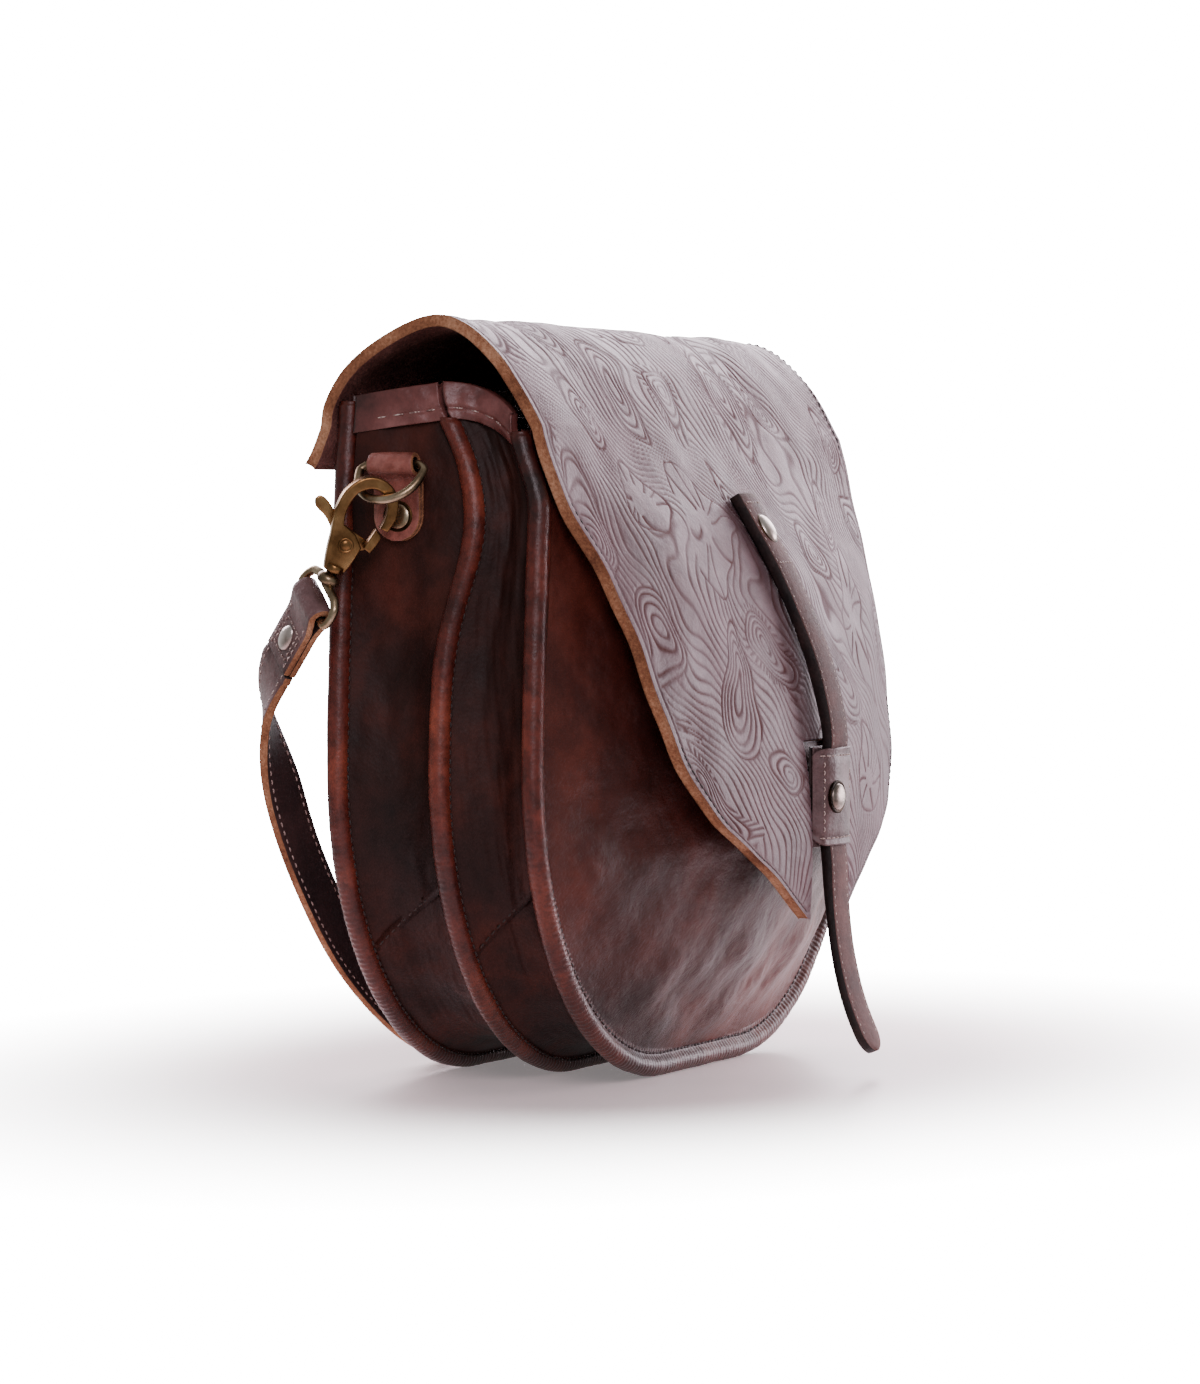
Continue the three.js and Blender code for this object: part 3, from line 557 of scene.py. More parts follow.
def plate(name, outline_points, depth, bevel, origin, axes, material, mirror=False, lift=0.0):
    """A closed outline filled and given a depth with rounded edges, set at an origin on three axes."""
    curve = bpy.data.curves.new(name, "CURVE")
    curve.dimensions, curve.fill_mode = "2D", "BOTH"
    curve.extrude, curve.offset = depth / 2 - bevel, -bevel
    curve.bevel_depth, curve.bevel_resolution = bevel, 3
    count = len(outline_points)
    spline = curve.splines.new("POLY")
    spline.points.add(count - 1)
    spline.points.foreach_set("co", np.column_stack([outline_points, np.zeros(count), np.ones(count)]).ravel())
    spline.use_cyclic_u = True
    rough = add_object(name, curve)
    bpy.context.view_layer.update()
    mesh = bpy.data.meshes.new_from_object(rough.evaluated_get(bpy.context.evaluated_depsgraph_get()))
    bpy.data.objects.remove(rough)
    points = origin + (np.array([v.co for v in mesh.vertices]) + (0, 0, lift)) @ np.array([unit(a) for a in axes])
    if mirror:
        points = points * (-1, 1, 1)
        mesh.flip_normals()
    mesh.vertices.foreach_set("co", metres(points).astype(np.float32).ravel())
    mesh.materials.clear()
    mesh.materials.append(material)
    mesh.update()
    mesh.polygons.foreach_set("use_smooth", np.ones(len(mesh.polygons), bool))
    made = add_object(name, mesh)
    made.modifiers.new("Weld", "WELD").merge_threshold = 0.00001
    made.modifiers.new("Edge Split", "EDGE_SPLIT").split_angle = radians(50)
    return made


def settle(made, body, slot, *nodes):
    """Rides a piece on its body and hides the CAD nodes it stands for."""
    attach(made, body)
    if nodes:
        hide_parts(*nodes)
    return made


def sew(body, slot, *row, **more):
    settle(stitches(*row, **more), body, slot)


# ---- rims, with their crimps and stitches

ROLL_TURNS = np.linspace(-2.35, 2.35, 22)
FLANGE = [(7.3, 1.95), (8.1, 1.5), (8.9, 1.75), (9.8, 1.9), (10.7, 1.75), (11.1, 0.9)]
RIM_SEAM = 8.3  # from a rim's outside in to the seam through its flange


def on_roll(s, turn, plane_y, lift=0.0):
    """A place on a rim's roll: turn 0 faces outwards and -90 degrees faces the front."""
    reach = RIM_RADIUS + lift
    x, z = outline(s, RIM_RADIUS - reach * cos(turn))
    return xyz(x, plane_y(z) + reach * sin(turn), z)


def flange_seam(name, s, plane_y, front):
    """Stitches through a rim's flange, seen from the front (-1) or the back (1)."""
    x, z = outline(s, RIM_SEAM)
    return name, xyz(x, plane_y(z) + 1.6 * front, z), xyz(0 * x, front, 0), DARK_THREAD


def rim(name, plane_y, top, seed):
    end = along_at(top)
    s = np.linspace(-end, end, 1300)[:, None]
    run = s * HALF_LENGTH
    crimp = 1 - smoothstep(np.abs(run), 130, 215)
    ridge = 0.5 + 0.5 * np.sin(2 * pi * run / 2.3 + 1.2 * np.sin(run / 11 + seed))
    swell = 1 + 0.02 * waves(run, run * 0, 26, seed) + 0.012 * waves(run, run * 0, 7, seed + 1)
    radius = RIM_RADIUS * swell * (1 - 0.075 * crimp * ridge) * np.where(np.abs(s) > end - 0.004, 0.85, 1)
    insets = [RIM_RADIUS - radius * cos(t) for t in ROLL_TURNS]
    sides = [radius * sin(t) for t in ROLL_TURNS]
    pinch = 1 - 0.16 * crimp * ridge
    for inset, y in FLANGE + [(inset, -y) for inset, y in reversed(FLANGE)]:
        insets.append(inset + 0 * s)
        sides.append(y * pinch)
    x, z = outline(s, np.maximum(np.concatenate(insets, axis=1), 0))
    made = loft(name + "_roll", xyz(x, plane_y(z) + np.concatenate(sides, axis=1), z), RIM)
    settle(made, "body", "rim_leather", name)


rim("rear_rim", rear_y, SIDE_TOP - 5, 1)
rim("middle_rim", middle_y, SIDE_TOP - 11, 2)
rim("front_rim", front_y, FRONT_TOP - 1, 3)

for name, plane_y, top in (("rear", rear_y, 238), ("middle", middle_y, 232), ("front", front_y, 226)):
    s = np.linspace(-along_at(top), along_at(top), 900)
    path = on_roll(s, -1.72, plane_y)
    row = (name + "_rim_stitches", path, unit(path - on_roll(s, -1.72, plane_y, -1.0)), DARK_THREAD)
    if name == "front":
        row = flange_seam(name + "_rim_stitches", s, plane_y, -1)
    sew("body", "rim_leather", *row, radius=0.5)
s = np.linspace(-along_at(238), along_at(238), 900)
sew("body", "rim_leather", *flange_seam("back_rim_stitches", s, rear_y, 1))

# ---- gussets and the hems folded over their tops

SEAM_REAR, SEAM_FRONT = along_at(CORNER_HEIGHT) - 0.215, along_at(CORNER_HEIGHT) - 0.125
SIDES = (("left", -1), ("right", 1))


def strip(back_y, ahead_y, top_dip, loose):
    """The folded strip between two rims, as a function from s, v and a depth into the bag to places."""

    def at(s, v, depth):
        _, height = outline(s, 0.0)
        fold = GUSSET_DIP + (top_dip - GUSSET_DIP) * smoothstep(height, 140, 195)
        dip = 4.2 + (fold - 2.4) * np.sin(pi * np.clip(v, 0, 1)) ** 0.85 + depth
        free = loose * smoothstep(height, 176, 236) * (1 - v) ** 2
        x, z = outline(s, np.maximum(dip - 3.2 * free, 0.2))
        rear = back_y(z) - 2.0 - 2.6 * free
        return xyz(x, rear + (ahead_y(z) + 2.2 - rear) * v, z)

    return at


def seam_at(v):
    return SEAM_REAR + (SEAM_FRONT - SEAM_REAR) * v


def above_seam(s, v):
    return 0.9 * np.exp(-np.maximum(s - seam_at(v), 0) * HALF_LENGTH / 9)


def rear_top(v):
    return 241.5 + 4 * v


def front_top(v):
    return 246 - 11 * np.clip(v, 0, 1) ** 2


def gusset_piece(name, at, low, high, rows, seed, seam_lift, node):
    u, v = (k.T for k in grid(rows, 56))
    s = low(v) + (high(v) - low(v)) * u
    run, across = s * HALF_LENGTH, v * 39
    _, height = outline(s, 0.0)
    folds = 0.8 * waves(run * 0.3, across, 24, seed) + 0.3 * waves(run * 0.6, across, 9, seed + 1)
    creases = 0.75 * bump(height, 34, 30) * waves(run, across * 0.35, 15, seed + 2)
    folds = folds + creases + 0.1 * waves(run, across, 4, seed + 3)
    depth = folds * np.sin(pi * v) ** 0.5 - seam_lift(np.abs(s), v)
    made = thick(name, at(s, v, depth), at(s, v, depth + 1.8), [BODY, FLESH, SHADED_EDGE], crown=0.3)
    settle(made, "body", "body_leather", node)


def gussets(place, at, top, seed):
    for side, sign in SIDES:
        gusset_piece(
            f"{place}_gusset_{side}_hide", at, lambda v: sign * seam_at(v), lambda v: sign * along_at(top(v) - 8),
            200, seed + sign, above_seam, f"{place}_gusset_{side}",
        )
        v = np.linspace(0.08, 0.92, 60)
        s = sign * (seam_at(v) + 0.0055)
        lift = above_seam(np.abs(s), v)
        path = at(s, v, -lift)
        sew("body", "body_leather", f"{place}_seam_stitches_{side}", path, path - at(s, v, 1.0 - lift), DARK_THREAD)
    gusset_piece(
        f"{place}_gusset_foot", at, lambda v: -seam_at(v) - 0.012, lambda v: seam_at(v) + 0.012,
        330, seed + 5, lambda s, v: 0 * s, f"{place}_gusset_bottom",
    )


def hem(place, at, top, reach, seed):
    """The band folded over a gusset's top, with its pale stitches."""
    for side, sign in SIDES:
        u, v = grid(34, 70)
        v = -0.03 + v * (1.03 + reach)
        foot, crest = along_at(top(v) - 13.5), along_at(top(v) - 0.6)
        s = sign * (foot + (crest - foot) * u)
        puff = 0.35 * waves(v * 39, u * 10, 9, seed + sign) - 1.1 * np.sin(pi * u) ** 0.6
        puff = puff + 0.6 * bump((u - 0.3) * 13, 0, 0.8)
        made = thick(f"{place}_hem_{side}_band", at(s, v, puff - 1.7), at(s, v, 2.2), [HEM] * 3, crown=1.6)
        settle(made, "body", "hem_leather", f"{place}_hem_{side}")
        v = np.linspace(0.02, 0.97 + reach, 60)
        s = sign * along_at(top(v) - 9.6)
        path = at(s, v, -2.2)
        row = f"{place}_hem_{side}_stitches", path, path - at(s, v, -1.2), PALE_THREAD, 5.4, 4.1, 0.28
        sew("body", "hem_leather", *row)


rear_strip, front_strip = strip(rear_y, middle_y, 1.0, 1.0), strip(middle_y, front_y, 6.0, 0.0)
gussets("rear", rear_strip, rear_top, 20)
gussets("front", front_strip, front_top, 40)
hem("rear", rear_strip, rear_top, 0.06, 60)
hem("front", front_strip, front_top, 0.0, 70)

# ---- tooling

MOTIF_ACROSS, MOTIF_ALONG = 43.0, 50.0
CONTOUR_PACE, STREAM_PACE = 2.5, 3.7


def lines_of(value, pace, width):
    """Lines of this width where the value is a whole number, a pace apart."""
    return bump(np.abs(value - np.round(value)) * pace, 0, width)


def tooling(x, run, seed):
    """Depth of the tooled lines, 0 to 1: contours drawn round scattered eyes, with hatched fringes."""
    random = np.random.default_rng(seed)
    wx = x + 7 * waves(x, run, 78, seed + 1) + 1.6 * waves(x, run, 26, seed + 2)
    wr = run + 7 * waves(x, run, 78, seed + 3) + 1.6 * waves(x, run, 26, seed + 4)
    near = np.full(x.shape, 1e9)
    bearing, kind, spin, reach = np.zeros((4, *x.shape))
    for row in range(int((np.ptp(run) + 60) / MOTIF_ALONG) + 1):
        for column in range(int((np.ptp(x) + 60) / MOTIF_ACROSS) + 1):
            dx = wx - (np.min(x) - 30 + (column + 0.5 * (row % 2)) * MOTIF_ACROSS + random.uniform(-8, 8))
            dr = wr - (np.min(run) - 30 + row * MOTIF_ALONG + random.uniform(-9, 9))
            tilt, long, short = random.uniform(-0.8, 1.0), random.uniform(1.2, 2.0), random.uniform(0.7, 1.0)
            a = dx * sin(tilt) + dr * cos(tilt)
            b = dx * cos(tilt) - dr * sin(tilt) + 0.016 * a * a * random.choice((-1, 1))
            away = np.hypot(a / long, b / short)
            closer = away < near
            near[closer], bearing[closer] = away[closer], np.arctan2(b, a)[closer]
            kind[closer], spin[closer] = random.random(), random.choice((-1, 1))
            reach[closer] = random.uniform(8.5, 16.5)
    scroll = near / CONTOUR_PACE + np.where(kind < 0.5, spin * bearing / (2 * pi), 0)
    flow = (0.85 * wx - 0.5 * wr + 9 * waves(x, run, 74, seed + 5)) / STREAM_PACE
    curl = lines_of(scroll, CONTOUR_PACE, 0.36) * (near > 1.6)
    lines = np.where(near < reach, curl, 0.75 * lines_of(flow, STREAM_PACE, 0.42))
    hatch = (0.5 + 0.5 * np.sin(bearing * np.maximum(reach, 8) * 3)) ** 3
    lines = np.where((kind > 0.42) & (kind < 0.72) & (np.abs(near - reach - 1.9) < 1.7), 0.8 * hatch, lines)
    veins = bump(np.abs(((bearing * 4.5 / pi) % 1) - 0.5) * near, 0, 0.55) * (near > 3.5)
    lines = np.where((kind > 0.82) & (near < reach), veins, lines)
    lines = np.maximum(lines, bump(near, reach, 0.45))
    fade = 0.75 + 0.25 * waves(x, run, 24, seed + 6)
    return np.clip(lines * np.clip(fade, 0.4, 1), 0, 1)


# ---- panels and bindings


def panel_grid(top, rows, columns):
    u, v = grid(rows, columns)
    z = PANEL_INSET + (top - PANEL_INSET) * v**1.5
    return (u * 2 - 1) * half_width_at(z, PANEL_INSET), z


def sheet(name, x, outer_y, inner_y, z, materials, body, slot, *nodes, **more):
    """An upright sheet with its faces at two depths."""
    settle(thick(name, xyz(x, outer_y, z), xyz(x, inner_y, z), materials, **more), body, slot, *nodes)


x, z = panel_grid(SIDE_TOP - 12, 330, 400)
middle = rear_y(z) + pillow(x, z) * (1.2 + 0.5 * waves(x, z, 90, 5))
lines = tooling(x, z, 80)
sheet("back_panel_hide", x, middle + 1 - 0.4 * lines, middle - 1, z, [FLAP, FLESH, EDGE],
      "body", "body_leather", "back_panel", tool=lines)

x, z = panel_grid(SIDE_TOP - 10, 120, 130)
middle = middle_y(z) + pillow(x, z) * (0.8 * waves(x, z, 60, 6) + 0.25 * waves(x, z, 16, 7))
sheet("middle_panel_hide", x, middle - 1, middle + 1, z, [BODY, FLESH, EDGE], "body", "body_leather", "middle_panel")

CROSS_FOLDS = (  # height, middle, half width, tilt and depth of each
    (88, -48, 36, 0.12, 1.5), (74, -52, 30, 0.2, -1.1), (52, -30, 34, -0.35, 1.0), (44, -24, 26, -0.3, -1.0),
    (112, -70, 26, 0.3, 0.8), (34, 22, 26, 0.55, 0.9), (104, -62, 22, 0.25, -0.8),
)


def panel_folds(x, z):
    """Folds and slack of the stuffed front panel, in millimetres outwards."""
    folds = 1.5 * waves(x * 0.8, z, 62, 11) + 0.55 * waves(x, z * 1.2, 27, 12) + 0.1 * waves(x, z, 7.5, 13)
    gathers = waves(x - 0.3 * (z - 10), z * 0.3, 33, 14) * smoothstep(x, 0, 60) * bump(z, 30, 26)
    folds = folds + 1.5 * gathers
    for high, middle, wide, tilt, deep in CROSS_FOLDS:
        folds = folds + deep * bump(z - tilt * (x - middle), high, 6.5) * bump(x, middle, wide)
    covered = smoothstep(z, 40, 62) * bump(x, 0, 70)
    return folds * np.clip(1.6 * dome(x, z) / 14, 0, 1) * (1 - 0.75 * covered)


x, z = panel_grid(FRONT_TOP - 8, 300, 330)
middle = front_y(z) - dome(x, z) - panel_folds(x, z)
sheet("front_panel_hide", x, middle - 1, middle + 1, z, [PANEL, FLESH, EDGE], "body", "body_leather", "front_panel")


def binding(name, plane_y, low, high, bulge):
    u, v = grid(18, 200)
    z = low + (high - low) * v
    half = half_width_at(high, PANEL_INSET)
    x = (u * 2 - 1) * half
    puff = 1.6 + 0.15 * waves(x, z, 12, 9)
    middle = plane_y(z) - bulge(x, z)
    sheet(name + "_fold", x, middle - puff, middle + puff, z, [HEM] * 3, "body", "hem_leather", name, crown=1.0)
    x = np.linspace(-1, 1, 200) * (half - 3)
    z = low + 2.2 + 0 * x
    path = xyz(x, plane_y(z) - bulge(x, z) - 1.65, z)
    sew("body", "hem_leather", name + "_stitches", path, xyz(0 * x, -1, 0), PALE_THREAD, 4.2, 3.0)


binding("middle_panel_binding", middle_y, SIDE_TOP - 9.6, SIDE_TOP, lambda x, z: 0 * x)
binding("front_panel_binding", front_y, FRONT_TOP - 7.6, FRONT_TOP, dome)
binding("back_panel_binding", rear_y, SIDE_TOP - 11.6, SIDE_TOP - 2, lambda x, z: 0 * x)

# ---- the flap's hide, from the back panel to the tip

HIDE_PROFILE = [(136, 43.4, 217.4), (137, 41.6, 221), (137, 41, 225), (137, 40.6, 231)] + FLAP_PROFILE
hide_line = smooth_path(HIDE_PROFILE, 600, 2400)
hide_run = run_along(hide_line[:, 1:])
hide_way = tangents(hide_line)
hide_in = unit(xyz(0, -hide_way[:, 2], hide_way[:, 1]))


def hide_place(row, x, depth):
    """Places across the flap at rows of its profile; depth is below the outer face."""
    line = hide_line[row]
    y = line[..., 1] + flap_bow(line[..., 2]) * x * x
    return xyz(x, y, line[..., 2]) + hide_in[row] * depth[..., None]


rows = np.arange(len(hide_line))
halves = hide_line[:, 0] - 0.35 + 0.35 * waves(hide_run, hide_run * 0, 30, 17)
left = -halves[:, None] + (halves[:, None] - NOTCH_HALF) * np.linspace(0, 1, 212)
centre = np.broadcast_to(np.linspace(-NOTCH_HALF, NOTCH_HALF, 44)[1:-1], (len(rows), 42))
across = np.concatenate([left, centre, -left[:, ::-1]], axis=1)
row_index = np.broadcast_to(rows[:, None], across.shape)
run = np.broadcast_to(hide_run[:, None], across.shape)
from_side = np.minimum(halves[:, None] - np.abs(across), hide_run[-1] - run)
lines = tooling(across, run, 90) * smoothstep(from_side, 3.4, 5.0) * smoothstep(run, 2, 8)
sway = 0.7 * waves(across, run, 85, 18) + 0.22 * waves(across, run, 26, 19)
sway = sway * smoothstep(run, 30, 60) * (1 - 0.8 * bump(across, 0, 24))
relief = 0.26 * lines - 0.08 * smoothstep(0.3 - lines, 0, 0.3) * smoothstep(from_side, 3.4, 6)
outer = hide_place(row_index, across, relief + 0.35 * bump(from_side, 2.9, 0.5) - sway)
inner = hide_place(row_index, across, HIDE_THICKNESS - sway)
cell = row_index[:-1, :-1]
notch = (cell > 0) & (np.abs(across[:-1, :-1] + across[1:, 1:]) / 2 < NOTCH_HALF)
notch = notch & (hide_line[cell, 2] < NOTCH_TOP) & (hide_line[cell, 1] < 0)
made = thick("flap_hide", outer, inner, [FLAP, FLESH, EDGE], keep=~notch, crown=0.55, tool=lines)
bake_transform(made)
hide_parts("flap", "flap_rear")

kept = rows[10:-2]
for side, sign in SIDES:
    edge = sign * (halves[kept] - 2.9)
    path = hide_place(kept, edge, 0.5 + 0 * edge)
    made = stitches(f"flap_stitches_{side}", path, -hide_in[kept], DARK_THREAD, 3.2, 2.3, 0.34)
    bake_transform(made)
x = np.linspace(-132, 132, 120)
row = np.full(120, 14)
path = hide_place(row, x, 0 * x - 0.1)
sew("body", "flap_leather", "flap_rear_stitches", path, -hide_in[row], DARK_THREAD, 3.4, 2.4)

# ---- straps


def strap_rings(path, across, width, thickness, crown=0.25, dip=0.0):
    """Cross-sections of a strap: 13 points over the face, then round one edge, the back and the other edge."""
    along = tangents(path)
    side = unit(across - along * np.sum(across * along, axis=1, keepdims=True))
    face = np.cross(along, side)
    half = np.broadcast_to(width, len(path))[:, None] / 2
    deep = np.broadcast_to(thickness, len(path))[:, None] / 2
    t = np.linspace(-1, 1, 13)
    crowned = crown * (1 - t**2) - dip * bump(np.abs(t), STITCH_LINE, 0.07)
    bulge = np.array([0.12, 0.36, 0.36, 0.12])
    level = np.array([0.82, 0.3, -0.3, -0.82])
    a = np.concatenate([half * t, half + bulge, half * t[::-1], -(half + bulge)], axis=1)
    b = np.concatenate([deep + crowned, deep * level, -deep + 0 * t, deep * level[::-1]], axis=1)
    return path[:, None] + side[:, None] * a[..., None] + face[:, None] * b[..., None], side, face


STRAP_KINDS = np.array([0] * 12 + [1] * 5 + [2] * 12 + [1] * 5)
STITCH_LINE = 0.76  # where a strap's stitches run, as a share of its half width


def rounded_end(count, length, width, both=False):
    """Widths along a strap of this length whose end, or both ends, are half round."""
    run = np.linspace(0, length, count)
    widths = np.full(count, width)
    for away in (length - run, run) if both else (length - run,):
        near = np.clip(away / (width / 2), 0.02, 1)
        widths = widths * np.sqrt(1 - (1 - near) ** 2)
    return widths


# ---- closure strap, keeper and snap

closure_low = [(0, -86.6, 155), (0, -92.6, 136), (0, -95.4, 120), (0, -94.0, 108), (0, -94.0, 90), (0, -95.2, 77)]
closure_tail = [(0, -96.2, 62), (0, -98.8, 42), (0, -103.2, 25), (0, -110.5, 8)]
closure_top = [(0, float(flap_front_y(z)) - drop, z) for z, drop in ((207, 3.2), (195, 3.2), (180, 3.6))]
closure = smooth_path(closure_top + closure_low + closure_tail, 420, 900)
closure_length = run_along(closure)[-1]
widths = rounded_end(420, closure_length, CLOSURE_WIDTH)
along = np.linspace(0, closure_length, 420)
plump = CLOSURE_THICKNESS + 0.25 * np.sin(along / 9) * bump(along, 90, 60) - 1.0 * smoothstep(along, 130, 170)
plump = plump - 1.9 * bump(closure[:, 2], 99, 13)
rings, side, face = strap_rings(closure, (1, 0, 0), widths, plump, crown=0.55, dip=0.4)
made = loft("closure_strap_padded", rings, [CLOSURE, SHADED_EDGE, LINING], kinds=STRAP_KINDS)
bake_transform(made)
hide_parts("closure_strap", "closure_tail")
for label, sign in SIDES:
    path = closure + side * (sign * STITCH_LINE * widths / 2)[:, None] + face * (plump / 2 - 0.1)[:, None]
    made = stitches(f"closure_stitches_{label}", path[6:-12], face[6:-12], PALE_THREAD, 2.9, 2.1, 0.3)
    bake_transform(made)
for label, place in (("top", 8), ("band", 58)):
    start = closure[place] + face[place] * (plump[place] / 2 + 0.35)
    path = start + np.linspace(-6, 6, 12)[:, None] * side[place]
    row = f"closure_{label}_stitches", path, np.tile(face[place], (12, 1)), PALE_THREAD, 2.2, 1.7
    sew("flap", "closure_leather", *row)

place = int(np.argmin(np.abs(closure[:, 2] - 194)))
at = closure[place] + face[place] * (plump[place] / 2 + 0.25)
made = lathe("closure_rivet_cap", domed(5.6, 2.0), at, face[place], NICKEL, squeeze=0.8)
settle(made, "flap", "nickel", "closure_rivet")
made = lathe("closure_rivet_seat", [(6.4, -0.4), (6.3, 0.25), (5.6, 0.4)], at, face[place], DARK_METAL, squeeze=0.8)
settle(made, "flap", "nickel")

u, v = grid(60, 80)
KEEPER_HALF = [(0, -98.4), (3.5, -98.3), (8, -97.7), (11.8, -96.2), (13.0, -94), (13.6, -91.8)]
keeper_line = smooth_path([(-x, y) for x, y in KEEPER_HALF[:0:-1]] + KEEPER_HALF, 80, 300)
keeper_way = tangents(keeper_line)
keeper_out = xyz(keeper_way[:, 1], -keeper_way[:, 0], 0)
pinched = keeper_line[:, 0] * (1 - 0.05 * bump(v, 0.5, 0.22))
round_off = 3.0 * (np.abs(u * 2 - 1) ** 8)
z = KEEPER_FOOT + round_off + (KEEPER_HEIGHT - 2 * round_off) * v
drape = 0.5 * waves(u * 40, z, 20, 33) - 0.5 * bump(np.abs(v - 0.5), 0.43, 0.05)
outside = xyz(pinched, keeper_line[:, 1], z) + keeper_out * drape[..., None]
made = thick("closure_keeper_loop", outside, outside - 2.0 * keeper_out, [KEEPER, LINING, SHADED_EDGE])
settle(made, "flap", "strap_leather", "closure_keeper")
for label, low in (("top", 114.2), ("foot", 84.8)):
    away = keeper_out[6:-6]
    path = xyz(keeper_line[6:-6, 0], keeper_line[6:-6, 1], low) - away * 0.1
    sew("flap", "strap_leather", f"keeper_{label}_stitches", path, away, PALE_THREAD, 2.8, 2.0, 0.3)
for label, k in (("left", 11), ("right", 68)):
    path = xyz(*keeper_line[k], np.linspace(86.5, 112.5, 30))
    row = f"keeper_{label}_stitches", path, np.tile(keeper_out[k], (30, 1)), PALE_THREAD, 2.8, 2.0, 0.3
    sew("flap", "strap_leather", *row)
u, v = grid(40, 30)
sheet("closure_keeper_base", (u * 2 - 1) * 13.3, -92.1, -90.7, KEEPER_FOOT - 0.5 + 36 * v,
      [KEEPER, LINING, SHADED_EDGE], "flap", "strap_leather")

snap_facing = (-0.1, -1, 0)
made = lathe("snap_cap_dome", domed(4.8, 1.7), (SNAP_X, -98.5, SNAP_Z), snap_facing, NICKEL)
settle(made, "flap", "nickel", "snap_cap")
profile = [(6.1, -0.5), (6.0, 0.3), (5.5, 0.55), (5.1, 0.35)]
settle(lathe("snap_cap_seat", profile, (SNAP_X, -98.4, SNAP_Z), snap_facing, DARK_METAL), "flap", "nickel")
profile = [(3.0, 1.7), (5.4, 1.7), (6.0, 1.2), (6.0, 0.2), (5.6, 0.0), (2.5, 0.0)]
made = lathe("snap_socket_ring", profile, (SNAP_X, -90.7, SNAP_Z), (0, 1, 0), BRASS)
settle(made, "flap", "brass", "snap_socket")
stud_foot = float(front_y(SNAP_Z) - dome(SNAP_X, SNAP_Z)) - 1
stud = stud_foot + 88.3  # the stud ends 88.3 in front of the design's middle
profile = [(5.4, 0), (5.2, 0.8), (3.2, 1.2), (2.6, 2.0), (2.5, stud - 1.2), (3.0, stud - 0.8), (2.7, stud - 0.2),
           (1.2, stud)]
made = lathe("snap_stud_post", profile, (SNAP_X, stud_foot, SNAP_Z), (0, -1, 0), BRASS)
settle(made, "body", "brass", "snap_stud")

# ---- tab, ring, hook and strap end of each side, made for the left and mirrored

RING_HINGE = np.array([-143.5, 9, 217.0])
HOOK_DOWN = unit((-0.087, 0.434, -0.897))
HOOK_PIN = np.array([-152, 11.9, 211.4]) + 24 * HOOK_DOWN
HOOK_FACING = np.array([-0.8, -0.55, -0.2])
HOOK_FACING = unit(HOOK_FACING - HOOK_DOWN * (HOOK_FACING @ HOOK_DOWN))
HOOK_AXES = np.array([np.cross(HOOK_FACING, HOOK_DOWN), -HOOK_DOWN, HOOK_FACING])
EYE_BAR = np.array([-155, 34.3, 169.6])
END_ACROSS, END_ALONG = unit((0.427, 0.595, 0.68)), unit((0.298, 0.618, -0.727))
END_FACING = np.cross(END_ACROSS, END_ALONG)
EYE_UP = np.array([0, -0.56, 0.83])
EYE_UP = unit(EYE_UP - END_ACROSS * (EYE_UP @ END_ACROSS))
STRAP_START = EYE_BAR + END_ALONG * 27

HOOK_BODY = trace(
    (-3.4, -10), (-5.2, -5, -6.3, 1.5), (-9.6, 11.5, -7.9, 17.6), (-4.8, 26.0, 2.5, 25.6),
    (10.8, 24.9, 12.2, 14.6), (11.3, 9.7), (8.3, 9.9), (9.3, 16.6, 5.6, 20.2), (0.6, 23.6, -3.5, 18),
    (-5.9, 12, -3.4, 6.2), (1.6, 4.6), (5.4, 1.2), (5.0, -5, 3.4, -10),
)
GATE_FINGER = trace(
    (6.1, 1.5), (8.7, 0.7), (9.6, 2.5, 10.1, 6.7), (9.8, 7.4, 9.2, 8.0), (7.2, 9.0), (6.6, 5.0, 6.1, 1.9),
)
GATE_LEVER = trace(
    (-11.0, 6.2), (-15.2, 7.2, -15.4, 9.8), (-14.8, 12.4, -11.6, 11.2), (-8, 9.4, -4.4, 6.0), (3.4, 4.4),
    (8.6, 3.4), (8.2, 0.8), (2.6, -3.0), (0, -4.2, -2.6, -3.0), (-5.6, 3.6, -11.0, 6.2),
)
RIVET_RING = [(5.7, -0.6), (5.6, 0.1), (5.2, 0.4), (4.6, 0.42), (4.2, 0.2)]
HOOK_COLLAR = [(3.9, 0), (4.15, 0.4), (4.15, 2.2), (3.7, 2.7), (2.8, 2.9)]
PIN_HEAD = [(2.6, -0.35), (2.75, 0.05), (2.55, 0.35), (2.1, 0.42), (1.9, 0.1), (1.75, -0.05), (1.4, 0.25),
            (0.6, 0.42)]
KNOB = [(1.9, -0.6), (2.0, 0.6), (3.3, 1.0), (4.0, 2.0), (4.0, 3.4), (3.2, 4.4), (2.0, 4.9), (0.8, 5.0)]
EYE_HALF = [(11, 0), (11.6, 1), (11.4, 4), (10.2, 7), (7, 8.6)]


def closed_wire(name, corners, material, mirror):
    """A round wire bent into a closed loop with rounded corners."""
    path = spaced(np.vstack([corners, corners[:1]]), 241)[:-1]
    for _ in range(14):
        path = (np.roll(path, 1, axis=0) + 2 * path + np.roll(path, -1, axis=0)) / 4
    rings = rings_along(path, 1.55, 18, path - path.mean(axis=0), True)
    return loft(name, rings, material, endless=True, mirror=mirror)


